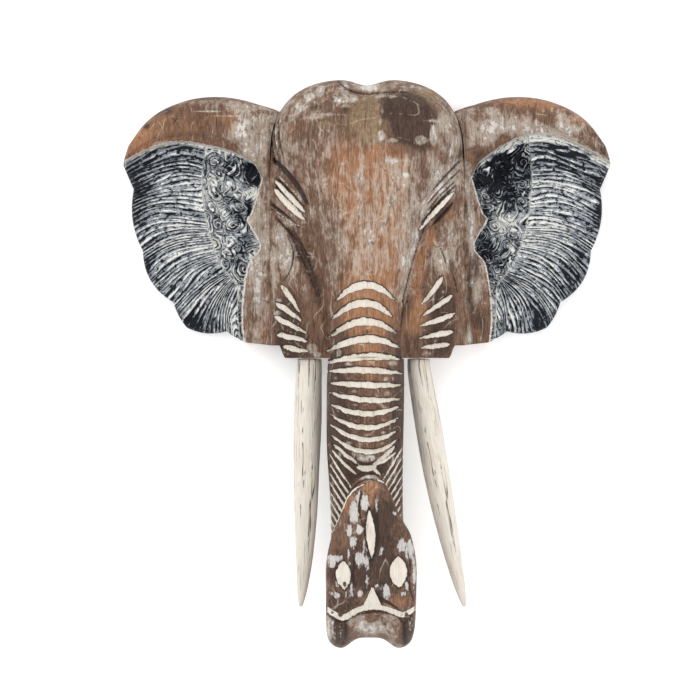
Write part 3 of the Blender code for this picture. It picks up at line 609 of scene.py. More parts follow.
TIP_DABS = (
    (-7.8, -112.3, 2.3, 4.2), (-2.2, -118, 3.6, 7.2), (-11.8, -126, 4.4, 11.5), (-15.4, -141, 2.8, 6.4),
    (-6.6, -139.4, 3.6, 4.2), (-12.6, -149, 2.6, 6), (-16.2, -162.6, 1.4, 6.2), (-7, -164.8, 3.8, 6.6),
    (-0.4, -165.6, 2, 7.6), (-2.8, -152, 1, 7.6), (-28, -164.4, 6.6, 3.4), (-30.5, -168.4, 4, 4),
    (7.6, -119.4, 1.3, 8.2), (23.7, -126.4, 1.5, 2), (28.3, -153.6, 3.6, 7), (35.4, -157.4, 3.6, 9),
    (33.4, -187, 1.8, 6), (39.6, -176, 1.8, 16), (11.4, -158.4, 1.9, 3.8), (-24.6, -184.6, 2.8, 3.6),
    (-30.6, -193.8, 3, 1.3), (-13.6, -190, 2.4, 5.4), (-6.6, -193.6, 2.3, 4.2), (0, -183, 1.4, 5.2),
    (8.8, -187.4, 2.6, 2.2), (16.2, -191.6, 3.6, 7), (21.2, -186, 1.6, 5.6), (-18.6, -195.4, 0.5, 5),
    (30.2, -193.9, 2.6, 1.8), (-15.4, -168, 1.6, 2.6), (-26, -196, 3, 2.6), (-23.5, -226, 0.8, 6),
    (36.2, -226, 0.7, 6),
)
WORN = (
    (-19.6, -186, 1.4, 2), (-23.5, -213, 1.9, 1.3), (-31, -211, 1.4, 0.8), (33.5, -213, 1.4, 1.8),
)

# %% [markdown]
# The tip's front is the part of the tube past the bend that faces up. Its dabs stay whole, as thick
# white paint, and where the cream is worn through (WORN) neither cream nor dark outline nor painted
# shade is left.

# %% Carve the trunk
TIP_CUT_DEPTH, WORN_INK_AND_SHADE = 0.8, -2


def peak(x, y):
    """The fork's middle point: a tall triangle from its tip down to its foot."""
    middle, top, slope, foot = PEAK
    return np.where((y < top) & (y > foot), slope * (top - y) - np.abs(x - middle), BARE)


x, y, z = carving_points(trunk).T
reach, turn = kept(trunk, "reach"), kept(trunk, "turn")
tip = reach > BEND - 8
upper_front = ~tip & (np.cos(turn) > -0.25)
tip_front = tip & (np.cos(turn) < 0.05)
bands = strokes(x, nicked(x, y), trunk_slots)
# Painted shadow: the slots moved up by SHADE_DROP give a dark band along each slot's steep upper wall.
shade = strokes(x, y - SHADE_DROP, trunk_slots)
side_cuts = np.maximum(strokes(x, y, herring), strokes(x, y, knot))
almond = strokes(x, y, ALMONDS)
fork = np.maximum(strokes(x, y, FORK), peak(x, y))
lines = strokes(x, y, TIP_LINES)
marks = strokes(x, y, TIP_CUTS)
rubbed = dabs(x, y, WORN)
ink = deepest(upper_front, shade, bands + 0.3)
# On the tip: dark outlines round almonds, fork and lines, and painted shade in the cut marks.
tip_ink_and_shade = np.maximum.reduce((almond + 0.8, fork + 0.6, lines + 0.3, marks + 0.2))
ink = np.where(tip_front, np.where(rubbed > -0.3, WORN_INK_AND_SHADE, tip_ink_and_shade), ink)
cream = np.minimum(np.maximum.reduce((almond, fork, lines)), -rubbed - 0.2)
cream = np.where(tip_front, cream, BARE)
upper_relief = -sink(bands, SLOT_DEPTH) - sink(side_cuts, TIP_CUT_DEPTH)
tip_relief = -sink(almond + 0.5, 1.8) - sink(fork + 0.4, 1.4) + 0.5 * ramp(lines + 0.5)
tip_relief -= sink(marks, TIP_CUT_DEPTH)
upper_wash = patches(x, y, TRUNK_WASH) + 1.3 * smeared(dabs(x, y, TRUNK_DABS))
# Where the tube turns away from the front, 0.3 more of the dark is painted shade.
upper_soot_and_shade = patches(x, y, TRUNK_SOOT) + 0.3 * ~upper_front
tip_warm = patches(x, y, TIP_WARM) + np.clip(rubbed * 3, 0, 2)
carve(trunk, np.where(upper_front, upper_relief, np.where(tip_front, tip_relief, 0)),
      cream=np.where(upper_front, np.maximum(bands, side_cuts), cream), ink=ink,
      dab=np.where(tip_front, dabs(x, y, TIP_DABS), BARE),
      wash=np.where(tip_front, patches(x, y, TIP_WASH), upper_wash) + 0.1,
      soot=np.where(tip_front, patches(x, y, TIP_SOOT), upper_soot_and_shade),
      warm=np.where(tip_front, tip_warm, patches(x, y, TRUNK_WARM)), ochre=0)
print("trunk carved")

# %% [markdown]
# Head board and trunk are one carving, so they become one piece. The trunk's upper end lies inside
# the board, and the crease where it comes out is one of the slots.

# %% Join the head
bpy.ops.object.select_all(action="DESELECT")
trunk.select_set(True)
board.select_set(True)
bpy.context.view_layer.objects.active = board
bpy.ops.object.join()
head = board
head.name = head.data.name = "head_carved"
bpy.ops.object.shade_smooth_by_angle(angle=math.radians(50))
print("head", sum(len(p.vertices) - 2 for p in head.data.polygons), "triangles")

# %% [markdown]
# An ear is a thick board with a sunk panel. From the joint outward come the plain neck, a step down
# into a field of curls, a spine, and long feathered ribs that bend down to a lobed edge; a smooth
# rim arches over it all. Rows of the grid follow the ribs, so that each rib is a wave over the rows.

# %% Form of an ear
EAR_TOP = ((-5, 222), (13, 229.5), (34, 234.5), (55, 235.3), (76, 231.8), (97, 223), (112, 211), (125, 192))
EAR_TIP = (130.5, 175.5)
EAR_NOTCHES = ((121, 153.5), (113, 99.5), (86, 54), (74, 31.5), (39, 28.5), (30, 22.5))
EAR_LOBES = (5.0, 7.5, 1.5, 3.5, 0.5)
EAR_NECK = ((-5, 162), (-5, 16))
PANEL_INNER = ((7, 161.5), (16, 133), (20, 125), (9, 103), (19, 87), (24, 60), (25, 36), (23, 18.5))
PANEL_SPINE = (
    (57, 190), (60, 160), (58, 135), (53, 112), (46, 92), (37, 78), (29.5, 68), (28.5, 44), (26.5, 20.5),
)
PANEL_TOP = (
    (7, 161.5), (10.5, 169.5), (22, 179.5), (40, 187), (57, 191), (79, 194), (97, 191), (115, 184),
    (130.5, 175.5),
)
EAR_ROWS = (
    (0, 0, 0, 0, 0), (0.2, 0.2, 0.195, 0.11, 0.15), (0.32, 0.33, 0.32, 0.31, 0.27),
    (0.44, 0.46, 0.396, 0.4, 0.377), (0.55, 0.58, 0.479, 0.5, 0.46), (0.65, 0.687, 0.58, 0.585, 0.53),
    (0.74, 0.78, 0.65, 0.63, 0.59), (0.88, 0.95, 0.76, 0.71, 0.72), (1, 1, 1, 1, 1),
)
RIB_BOW, RIBS, STRANDS, STRAND_PITCH = 0.09, 22, 56, 3.2
NECK_SHARE, SCROLL_SHARE, RIM_SHARE = 0.15, 0.46, 0.17


def ear_edge(shares):
    """The lobed lower edge, from the tip to the joint, read at shares of its length."""
    corners = np.array([EAR_TIP] + list(EAR_NOTCHES), float)
    line = []
    for start, end, bulge in zip(corners, corners[1:], (0.0,) + EAR_LOBES):
        run = end - start
        away = np.array((-run[1], run[0])) / np.hypot(*run)
        line += [start + run * t + away * bulge * 4 * t * (1 - t) for t in np.arange(0, 1, 0.02)]
    line = np.array(line + [corners[-1]])
    reach = np.concatenate(((0,), np.cumsum(np.hypot(*np.diff(line, axis=0).T))))
    return np.stack([np.interp(shares * reach[-1], reach, line[:, a]) for a in (0, 1)], -1)


def mixed_points(a, b, share):
    return a + (b - a) * share[:, None]


def ear_plan(down, neck, scroll, rib):
    """Places over the panel: down it from 0 to 1, and a share over neck, scroll field and ribs."""
    edge_share, spine_share, inner_share, joint_share = along(EAR_ROWS, down).T
    edge, spine = ear_edge(edge_share), through(PANEL_SPINE, spine_share)
    inner, joint = through(PANEL_INNER, inner_share), through(EAR_NECK, joint_share)
    chord = edge - spine
    bow = RIB_BOW * np.sin(math.pi * rib)[:, None] * np.column_stack((-chord[:, 1], chord[:, 0]))
    flat = mixed_points(joint, inner, neck)
    flat = np.where((scroll > 0)[:, None], mixed_points(inner, spine, scroll), flat)
    flat = np.where((rib > 0)[:, None], mixed_points(spine, edge, rib) + bow, flat)
    return flat, np.hypot(*(spine - inner).T), np.hypot(*(inner - joint).T), np.hypot(*chord.T)


def arched(flat, top_row, down, lift):
    """Lift the upper rows so that the first lies on the panel's arched top."""
    top = along(PANEL_TOP, top_row[:, 0])[:, 0] + lift * np.exp(-((top_row[:, 0] - 58) / 32.0) ** 2)
    flat[:, 1] += (top - top_row[:, 1]) * (1 - ramp(down / 0.3))
    return flat


# %% [markdown]
# The curls are spirals around scattered middles. Every point takes the nearest middle, and its
# distance and angle from it give a wave that winds inward. Slow waves first push the points about,
# so that no curl is round and no two are alike, as with a free hand.

# %% Curls
CURL_FIELD, CURL_ROOM, CURL_PITCH = ((0, 15), (64, 200)), (8, 21), (2.8, 4.8)
CURL_TRIES, CURL_CORE = 6000, 0.35


def drift(a, b, seed):
    """Slow seeded waves over two coordinates, about -1 to 1."""
    chance = np.random.default_rng(seed)
    total = 0
    for _ in range(8):
        fast, slow, phase = chance.normal(), chance.normal(), chance.uniform(0, 2 * math.pi)
        total = total + np.sin(fast * a + slow * b + phase)
    return total / 2.8


def curls(x, y, seed):
    """Height from 0 to 1, distance along a line of the curl, and distance across it."""
    x, y = x + 2.4 * drift(x / 6, y / 6, seed + 1), y + 2.4 * drift(x / 6, y / 6, seed + 2)
    tangle = 0.35 * drift(x / 3.4, y / 3.4, seed + 3) + 0.2 * drift(x / 1.5, y / 1.5, seed + 4)
    chance = np.random.default_rng(seed)
    middles, rooms = [], []
    for _ in range(CURL_TRIES):
        spot, room = chance.uniform(*CURL_FIELD), chance.uniform(*CURL_ROOM)
        if all(np.hypot(*(spot - other)) > (room + size) / 2 for other, size in zip(middles, rooms)):
            middles.append(spot)
            rooms.append(room)
    middles, rooms = np.array(middles), np.array(rooms)
    hand = np.where(chance.random(len(rooms)) < 0.5, -1.0, 1.0)
    phase, bold = chance.random(len(rooms)), chance.uniform(0.45, 1.0, len(rooms))
    pitch = chance.uniform(*CURL_PITCH, len(rooms))
    gaps = np.hypot(x[:, None] - middles[:, 0], y[:, None] - middles[:, 1]) - rooms * CURL_CORE
    order = np.argsort(gaps, axis=1)[:, :2]
    near = np.take_along_axis(gaps, order, 1)
    own = order[:, 0]
    angle = np.arctan2(y - middles[own, 1], x - middles[own, 0])
    out = near[:, 0] + rooms[own] * CURL_CORE
    wind = out / pitch[own] - hand[own] * angle / (2 * math.pi) + phase[own] + tangle
    firm = np.clip(0.8 + 0.4 * drift(x / 4, y / 4, seed + 6), 0.3, 1.1)
    height = (0.5 + 0.5 * np.cos(2 * math.pi * wind)) ** 1.3 * bold[own] * firm
    crease = ramp((near[:, 1] - near[:, 0]) / 1.6)
    return height * (0.3 + 0.7 * crease), angle * out, wind * STRAND_PITCH


# %% [markdown]
# An ear keeps what its paint needs: `panel` is the distance inside the panel's edge, `height` says
# what stands proud, the border number darkens the lobed edge and lays painted shadow on the strip
# under the rim, and `curl` marks the field of curls. The two strand distances run along and across
# each strand, for long brush marks.

# %% Build and carve one ear
EAR_THICK, EAR_THINNING, EAR_FLOOR, EAR_EDGE, PANEL_HEIGHT = 40.0, 5.0, 21.0, 14, 170
NECK_DROP, GLUE_GAP, CURL_LINES = 5.0, 0.3, 125
RIM_PROFILE = ((0, 0), (0.04, -3.0), (0.30, 0), (0.62, -1.5), (0.88, -7.0), (0.97, -15), (1, -21))


def head_side(y):
    """How far out the head's own outline is at height y."""
    share = np.clip((y - DOME_BASE) / DOME_RISE, 0, 0.995)
    return HEAD_HALF * (1 - share ** DOME_POWER) ** (1 / DOME_POWER)


def ear(name, side, lift, lip, seed):
    """One ear; lift raises its panel's top and lip is the pale strip below it, both in mm."""
    piece, u, v = grid(name, 190, 400)
    v = 1 - v
    down = np.clip((v - RIM_SHARE) / (1 - RIM_SHARE), 0, 1)
    neck = np.clip(u / NECK_SHARE, 0, 1)
    scroll = np.clip((u - NECK_SHARE) / (SCROLL_SHARE - NECK_SHARE), 0, 1)
    rib = np.clip((u - SCROLL_SHARE) / (1 - SCROLL_SHARE), 0, 1)
    flat, scroll_width, neck_width, rib_width = ear_plan(down, neck, scroll, rib)
    flat = arched(flat, ear_plan(down * 0, neck, scroll, rib)[0], down, lift)

    thick = EAR_THICK - EAR_THINNING * ramp(down * 1.4 - 0.4)
    broad = 0.5 - 0.5 * np.cos(2 * math.pi * down * RIBS)
    waves = down * STRANDS + 0.7 * drift(down * 30, rib * 2.2, seed + 5)
    chance = np.random.default_rng(seed + 9)
    number = np.clip(np.round(waves).astype(int) + 4, 0, STRANDS + 8)
    bold = chance.uniform(0.35, 1.0, STRANDS + 9)[number]
    strand = (0.5 + 0.5 * np.cos(2 * math.pi * waves)) * bold
    swell, line_along, line_across = curls(flat[:, 0], flat[:, 1], seed)
    relief = (1.7 * broad + 1.5 * strand) * ramp(rib * 7)
    z = thick - NECK_DROP * neck
    z = np.where(scroll > 0, EAR_FLOOR + 4.2 * swell * ramp(scroll * 9), z)
    z = np.where(rib > 0, EAR_FLOOR + 1.5 - 4.5 * rib + relief, z)
    step = ramp(scroll * scroll_width / 1.6)
    z = np.where((scroll > 0) & (step < 1), (thick - NECK_DROP) * (1 - step) + z * step, z)
    cord = 1.3 - np.abs(np.where(rib > 0, rib * rib_width, (1 - scroll) * scroll_width))
    z += np.where(scroll > 0, 1.4 * ramp((cord + 0.6) / 1.6), 0)

    climb = np.clip(1 - v / RIM_SHARE, 0, 1)
    top = through(EAR_TOP, np.linspace(0, 1, 60))
    reach = np.concatenate(((0,), np.cumsum(np.hypot(*np.diff(top, axis=0).T))))
    joint_x = EAR_NECK[0][0]
    share = np.clip((flat[:, 0] - joint_x) / (EAR_TIP[0] - joint_x), 0, 1) ** 0.92
    crown = np.stack([np.interp(share * reach[-1], reach, top[:, a]) for a in (0, 1)], -1)
    rim = climb > 0
    body = 37.0 - 4.0 * ramp((neck * neck_width) / 20)
    profile = along(RIM_PROFILE, climb)[:, 0]
    join = ramp(climb / 0.05)
    z = np.where(rim, z * (1 - join) + (body + profile) * join, z)
    rise = np.hypot(*(crown - flat).T)
    flat = np.where(rim[:, None], mixed_points(flat, crown, climb), flat)
    taper = np.sqrt(np.clip(1 - (1 - np.clip((1 - rib) / 0.07, 0, 1)) ** 2, 0, 1))
    z = EAR_EDGE + (z - EAR_EDGE) * taper

    x = HEAD_HALF + flat[:, 0]
    inset = np.clip(1 - u / NECK_SHARE, 0, 1)
    x = x + (head_side(flat[:, 1]) + GLUE_GAP - (HEAD_HALF + joint_x)) * inset
    place(piece, np.stack((side * x, flat[:, 1], z), -1))

    below, above = down * PANEL_HEIGHT, -climb * rise
    inside = np.where(scroll > 0, scroll * scroll_width, -(1 - neck) * neck_width)
    inside = np.where(rib > 0, 40, inside)
    inside = np.where(rim, np.where(scroll > 0, above, np.minimum(inside, above)), inside)
    inside = np.where(~rim, np.minimum(inside, below), inside)
    height = np.where(rib > 0, strand * 0.85 + 0.15 * broad, swell)
    height = np.maximum(height, np.where(scroll > 0, 0.75 * ramp((cord + 0.4) / 1.2), 0))
    height = np.maximum(height, 1.2 * ramp(lip - below) * (scroll > 0.15))
    border = np.where(rib > 0, 0.4 * np.clip(1 - (1 - rib) * rib_width / 18, 0, 1), 0)
    # Painted shadow: a dark strip just below the lip, under the rim that hangs over the panel.
    border += 0.6 * np.clip(1 - np.abs(below - lip - 9) / 12, 0, 1)
    keep(piece, "panel", inside)
    keep(piece, "height", np.clip(height, 0, 1.2))
    keep(piece, "border", border)
    keep(piece, "curl", np.where((scroll > 0) & (rib <= 0), 1.0, 0.0))
    keep(piece, "strand_along", np.where(rib > 0, rib * rib_width, line_along))
    line_across = line_across + CURL_LINES * STRAND_PITCH
    keep(piece, "strand_across", np.where(rib > 0, waves * STRAND_PITCH, line_across))
    close_back(piece)
    bpy.ops.object.shade_smooth_by_angle(angle=math.radians(50))
    return piece


ear_left = ear("ear_left_carved", -1, 0.0, 1.2, 3)
ear_right = ear("ear_right_carved", 1, 9.0, 4.5, 8)
print("each ear", sum(len(p.vertices) - 2 for p in ear_left.data.polygons), "triangles")

# %% Patches on the ears
EAR_PAINT = {
    "wash": {
        -1: (
            (-100, 198, 12, 26, 0.35), (-122, 226, 24, 5, 0.3), (-92, 150, 7, 40, 0.1),
            (-176, 192, 10, 5, 0.7), (-170, 230, 20, 2.5, 0.4), (-126, 200, 12, 5, 0.4),
            (-104, 186, 8, 8, 0.3), (-98, 110, 14, 80, 0.3), (-97, 60, 3, 30, 0.4),
            (-110, 208, 8, 12, 0.4), (-142, 221, 16, 0.7, 1), (-126, 217, 12, 0.6, 1),
            (-150, 213, 10, 0.5, 0.9), (-165, 208, 36, 18, -0.8), (-204, 188, 10, 16, -0.6),
        ),
        1: (
            (106, 205, 16, 20, 0.5), (140, 208, 30, 9, 0.5), (178, 204, 16, 6, 0.5),
            (92, 110, 8, 70, 0.12), (206, 192, 4, 6, 0.5), (122, 196, 12, 5, -0.5),
            (158, 214, 8, 5, -0.6), (102, 216, 8, 4, -0.5), (150, 230, 54, 5, -0.9),
            (98, 184, 8, 6, -0.9), (98, 34, 8, 14, -0.9), (96, 62, 5, 12, 0.7), (92, 110, 3, 22, 0.5),
            (90, 26, 3, 12, 0.8), (88, 150, 3, 30, 0.4),
        ),
    },
    "warm": {
        -1: (
            (-165, 212, 42, 20, 0.5), (-200, 188, 14, 30, 0.7), (-118, 216, 14, 6, 0.5),
            (-114, 206, 10, 4, 0.5), (-92, 30, 8, 16, 0.5),
        ),
        1: (
            (160, 229, 46, 6, 0.9), (192, 214, 16, 7, 0.8), (140, 212, 20, 10, 0.3), (90, 92, 3, 40, 0.3),
            (98, 34, 7, 12, 0.8),
        ),
    },
    "soot": {
        -1: (
            (-160, 215, 50, 22, 0.4), (-104, 50, 4, 16, 0.4), (-94, 120, 3, 18, 0.35),
            (-150, 235, 30, 2.5, 0.5), (-185, 222, 14, 3, 0.5), (-196, 208, 8, 4, 0.4),
        ),
        1: (
            (207, 194, 5, 12, 0.9), (98, 184, 9, 6, 0.6), (98, 34, 6, 11, 0.5), (94, 80, 6, 50, 0.5),
            (103, 30, 3, 20, 0.4), (90, 70, 3, 24, 0.4), (87, 200, 3, 16, 0.4),
        ),
    },
    "pale": {
        -1: (
            (-101, 170, 10, 11, -0.9), (-119, 172, 5, 8, -0.5), (-98, 151, 5, 7, 0.7),
            (-103, 134, 2.5, 10, -0.8), (-112, 128, 7, 7, -0.4), (-98, 108, 5, 14, 0.5),
            (-112, 96, 6, 16, -0.4), (-150, 34, 14, 10, -0.5), (-194, 84, 4, 9, -0.5),
            (-119, 34, 6, 14, 0.35), (-150, 150, 20, 20, 0.2), (-200, 150, 10, 24, -0.3),
            (-150, 100, 26, 22, 0.1), (-104, 48, 3, 30, 0.5),
        ),
        1: (
            (120, 158, 20, 24, -0.45), (112, 184, 10, 6, -0.6), (122, 124, 12, 8, 0.6),
            (100, 94, 10, 16, -0.5), (88, 157, 3, 12, 0.8), (172, 190, 16, 1.6, -1),
            (186, 184, 18, 2, -1), (207, 134, 5, 9, -0.8), (150, 130, 30, 40, 0.25),
            (180, 70, 14, 26, -0.25), (112, 44, 4, 26, 0.4), (150, 38, 7, 10, -0.5),
            (124, 70, 6, 8, -0.3), (92, 104, 4, 6, 0.5), (128, 102, 3, 4, 0.5),
        ),
    },
}
for side, piece in ((-1, ear_left), (1, ear_right)):
    x, y, z = carving_points(piece).T
    for name, tables in EAR_PAINT.items():
        keep(piece, name, patches(x, y, tables[side]))
    keep(piece, "dab", BARE)

# %% [markdown]
# A tusk is a ring of points drawn out section by section: each extrude is moved along the tusk and
# scaled to its thickness there. Subdivision rounds it, and shallow flats are pressed in afterwards,
# because the real ones were shaved with a knife.

# %% Tusks
TUSK_TOP, TUSK_LENGTH, TUSK_RADIUS, SHAVINGS = HEAD_BOTTOM - 0.3, 215, 13, 9
TUSK_RINGS = (0, 1.0, 8, 22, 46, 72, 98, 124, 150, 176, 200, 210, 215)
TUSK_STATIONS = (0, 4, 22, 46, 72, 98, 124, 150, 176, 200, 215)
TUSK_LEFT = (
    (34.8, 0.83), (34.8, 0.86), (34, 0.93), (33.6, 0.98), (32.8, 0.99), (32.4, 0.94), (32, 0.85),
    (31.4, 0.71), (30.6, 0.56), (28.8, 0.36), (27.4, 0.12),
)
TUSK_RIGHT = (
    (39.7, 0.76), (39.7, 0.8), (37.4, 0.87), (33.5, 0.91), (29.4, 0.92), (25, 0.9), (20.2, 0.83),
    (15.2, 0.71), (9.8, 0.57), (4.4, 0.37), (1, 0.12),
)


def tusk_middle(side, table, down):
    """Middles and radii of a tusk at distances down it; it leans forward more and more."""
    rows = [(d, inward, share) for d, (inward, share) in zip(TUSK_STATIONS, table)]
    inward, share = along(rows, down).T
    z = 40 + 26 * (np.maximum(down - 4, 0) / TUSK_LENGTH) ** 1.6
    return np.stack((side * (HEAD_HALF - inward), TUSK_TOP - down, z), -1), TUSK_RADIUS * share


def tusk(name, side, table, seed):
    middles, radii = tusk_middle(side, table, np.array(TUSK_RINGS))
    spots = (middles + (0, SHIFT, 0)) * MM
    bpy.ops.object.select_all(action="DESELECT")
    bpy.ops.mesh.primitive_circle_add(vertices=20, radius=radii[0] * MM, fill_type="NGON",
                                      location=spots[0], rotation=(math.pi / 2, 0, 0))
    piece = bpy.context.active_object
    piece.name = piece.data.name = name
    bpy.ops.object.transform_apply(location=True, rotation=True, scale=True)
    bpy.ops.object.mode_set(mode="EDIT")
    bpy.ops.mesh.select_all(action="SELECT")
    for k in range(1, len(spots)):
        size = radii[k] / radii[k - 1]
        move = {"value": tuple(spots[k] - spots[k - 1])}
        bpy.ops.mesh.extrude_region_move(TRANSFORM_OT_translate=move)
        bpy.ops.transform.resize(value=(size, size, size), center_override=tuple(spots[k]))
    leave_edit()
    change = piece.modifiers.new("rounding", "SUBSURF")
    change.levels = change.render_levels = 3
    bpy.ops.object.modifier_apply(modifier=change.name)

    points = carving_points(piece)
    reach = np.clip(TUSK_TOP - points[:, 1], 0, TUSK_LENGTH)
    out = points - tusk_middle(side, table, reach)[0]
    angle = np.arctan2(out[:, 2], out[:, 0])
    chance = np.random.default_rng(seed)
    press = np.zeros(len(points))
    for _ in range(SHAVINGS):
        where, turn = chance.uniform(20, 200), chance.uniform(0, 2 * math.pi)
        near = np.exp(-((reach - where) / 34) ** 2)
        press += 0.55 * (near * np.exp(-((np.cos(angle - turn) - 1) / 0.18) ** 2))
    place(piece, points - read(piece, "normal") * press[:, None])
    keep(piece, "reach", reach)
    keep(piece, "round", angle * 11)
    bpy.ops.object.shade_smooth_by_angle(angle=math.radians(60))
    return piece


tusk_left = tusk("tusk_left_carved", -1, TUSK_LEFT, 5)
tusk_right = tusk("tusk_right_carved", 1, TUSK_RIGHT, 6)
print("each tusk", sum(len(p.vertices) - 2 for p in tusk_left.data.polygons), "triangles")

# %% [markdown]
# Every finish starts from a few small helpers that add a node and wire it up. Colours are written
# as they look on a screen, from 0 to 255, and turned into the linear values that light needs.

# %% Node helpers
def tone(r, g, b):
    return tuple(((c / 255 + 0.055) / 1.055) ** 2.4 for c in (r, g, b)) + (1,)


def add(tree, kind, wires=None, **settings):
    """A new node with its settings, its inputs wired to sockets or set to values."""
    made = tree.nodes.new(kind)
    for name, value in settings.items():
        setattr(made, name, value)
    for key, value in (wires or {}).items():
        if isinstance(value, bpy.types.NodeSocket):
            tree.links.new(value, made.inputs[key])
        else:
            made.inputs[key].default_value = value
    return made


def maths(tree, operation, a, b=0.0):
    return add(tree, "ShaderNodeMath", {0: a, 1: b}, operation=operation).outputs[0]


def times(tree, a, b):
    return maths(tree, "MULTIPLY", a, b)


def inverse(tree, value):
    """One minus the value."""
    return maths(tree, "SUBTRACT", 1.0, value)


def plus(tree, *terms):
    """Sum of (socket, factor) pairs."""
    total = 0.0
    for value, factor in terms:
        wires = {0: value, 1: factor, 2: total}
        total = add(tree, "ShaderNodeMath", wires, operation="MULTIPLY_ADD").outputs[0]
    return total


def mix(tree, share, a, b):
    return add(tree, "ShaderNodeMix", {0: share, 6: a, 7: b}, data_type="RGBA").outputs[2]


def over(tree, colour, mask, strength, paint):
    """Lay a paint over a colour where a mask is, at a strength."""
    return mix(tree, times(tree, mask, strength), colour, paint)


def between(tree, value, low, high):
    wires = {0: value, 1: low, 2: high}
    return add(tree, "ShaderNodeMapRange", wires, interpolation_type="SMOOTHSTEP").outputs[0]


def noise(tree, coords, stretch, detail=3.0, rough=0.6, at=(0, 0, 0)):
    """Noise that is drawn out by its three scales and fills the range from 0 to 1."""
    moved = add(tree, "ShaderNodeMapping", {0: coords, 1: at, 3: stretch}).outputs[0]
    wires = {"Vector": moved, "Scale": 1.0, "Detail": detail, "Roughness": rough}
    made = add(tree, "ShaderNodeTexNoise", wires).outputs[0]
    return add(tree, "ShaderNodeMapRange", {0: made, 1: 0.3, 2: 0.7}).outputs[0]


def attribute(tree, name):
    return add(tree, "ShaderNodeAttribute", attribute_name=name).outputs["Fac"]


def group(name, inputs, outputs):
    """An empty node group with its named sockets."""
    made = bpy.data.node_groups.new(name, "ShaderNodeTree")
    for label, kind in inputs:
        made.interface.new_socket(label, in_out="INPUT", socket_type=kind)
    for label, kind in outputs:
        made.interface.new_socket(label, in_out="OUTPUT", socket_type=kind)
    start = made.nodes.new("NodeGroupInput")
    end = made.nodes.new("NodeGroupOutput")
    return made, start.outputs, end.inputs


# %% [markdown]
# The brown wood is shared by head and ears: a stained ground with long fibres, rubbed with thin
# whitewash that clings in streaks and blots. Streaks run along y, the way the board was cut. The
# group takes how much wash, soot with painted shade, warm stain and ochre a place has and gives back
# colour, height and roughness. Curved scratches, two pale and two dark, lie where a slow noise passes
# its middle value, and dabs of thick white come last, each with a thin dark edge.

# %% Shared finish: washed wood
VALUE, COLOUR, VECTOR = "NodeSocketFloat", "NodeSocketColor", "NodeSocketVector"
SCRATCHES = (
    ((40, 12, 30), (4, 4, 4), 0.4, (208, 198, 184)), ((18, 24, 20), (7, 2, 4), 0.35, (204, 188, 166)),
    ((70, 11, 50), (8, 1, 3), 0.6, (58, 42, 36)), ((22, 20, 20), (1, 9, 6), 0.5, (62, 46, 38)),
)
washed_wood, given, result = group(
    "washed wood",
    (("Place", VECTOR), ("Wash", VALUE), ("Soot", VALUE), ("Warm", VALUE), ("Ochre", VALUE),
     ("Dab", VALUE)),
    (("Color", COLOUR), ("Height", VALUE), ("Roughness", VALUE)),
)
w = washed_wood
spot = given["Place"]
fibre = noise(w, spot, (1100, 130, 800), 5, 0.72)
vein = noise(w, spot, (520, 30, 300), 3, 0.55, (2, 5, 8))
streak = noise(w, spot, (200, 26, 130), 4, 0.66, (3, 7, 1))
blot = noise(w, spot, (90, 62, 70), 5, 0.68, (9, 2, 5))
ragged = noise(w, spot, (300, 170, 240), 4, 0.72, (6, 6, 2))
grain = plus(w, (fibre, 0.75), (streak, 0.35), (1.0, -0.05))
ground = mix(w, grain, tone(50, 35, 29), tone(148, 115, 94))
warm_ground = mix(w, grain, tone(102, 66, 46), tone(184, 138, 104))
ochre_ground = mix(w, grain, tone(74, 56, 40), tone(166, 140, 112))
soot_and_shade_ground = mix(w, grain, tone(14, 11, 11), tone(96, 76, 66))
warm = plus(w, (given["Warm"], 1.0), (blot, 0.4), (streak, 0.2), (ragged, 0.25))
ochre = plus(w, (given["Ochre"], 1.0), (blot, 0.5), (streak, 0.2), (ragged, 0.5))
soot = plus(w, (given["Soot"], 1.0), (blot, 0.5), (streak, 0.2), (fibre, 0.2), (ragged, 0.5))
soot = between(w, soot, 0.9, 1.35)
ground = mix(w, between(w, warm, 0.55, 1.15), ground, warm_ground)
ground = mix(w, between(w, ochre, 0.95, 1.3), ground, ochre_ground)
# Soot and dark stain, and in places painted shade, as one dark colour.
ground = over(w, ground, soot, 0.92, soot_and_shade_ground)
amount = plus(w, (given["Wash"], 1.0), (streak, 0.45), (blot, 0.8), (fibre, 0.35), (ragged, 0.4),
              (soot, -0.3))
veil = between(w, amount, 0.85, 1.5)
thick = between(w, plus(w, (amount, 1.0), (ragged, 0.9), (1.0, -0.45)), 1.58, 1.85)
rim = times(w, between(w, amount, 1.5, 1.58), inverse(w, thick))
colour = over(w, ground, veil, 0.7, tone(184, 172, 159))
colour = over(w, colour, between(w, vein, 0.68, 0.9), 0.45, tone(62, 48, 43))
for stretch, at, shown, paint in SCRATCHES:
    level = maths(w, "ABSOLUTE", plus(w, (noise(w, spot, stretch, 2, 0.4, at), 1.0), (1.0, -0.5)))
    line = times(w, inverse(w, between(w, level, 0.006, 0.022)), between(w, streak, 0.3, 0.75))
    colour = over(w, colour, line, shown, tone(*paint))
colour = over(w, colour, rim, 0.3, tone(70, 55, 50))
colour = over(w, colour, thick, 0.9, mix(w, streak, tone(176, 170, 164), tone(218, 213, 206)))
dab = plus(w, (given["Dab"], 1.0), (ragged, 2.8), (fibre, 1.8), (blot, 0.6), (1.0, -2.7))
dab_edge = times(w, between(w, dab, -0.9, -0.2), inverse(w, between(w, dab, -0.2, 0.2)))
colour = over(w, colour, dab_edge, 0.4, tone(58, 46, 44))
dab = between(w, dab, -0.1, 0.8)
colour = over(w, colour, dab, 0.85, mix(w, grain, tone(168, 163, 159), tone(226, 223, 219)))
height = plus(w, (fibre, 0.3), (streak, 0.25), (thick, 0.2), (dab, 0.2), (vein, -0.25))
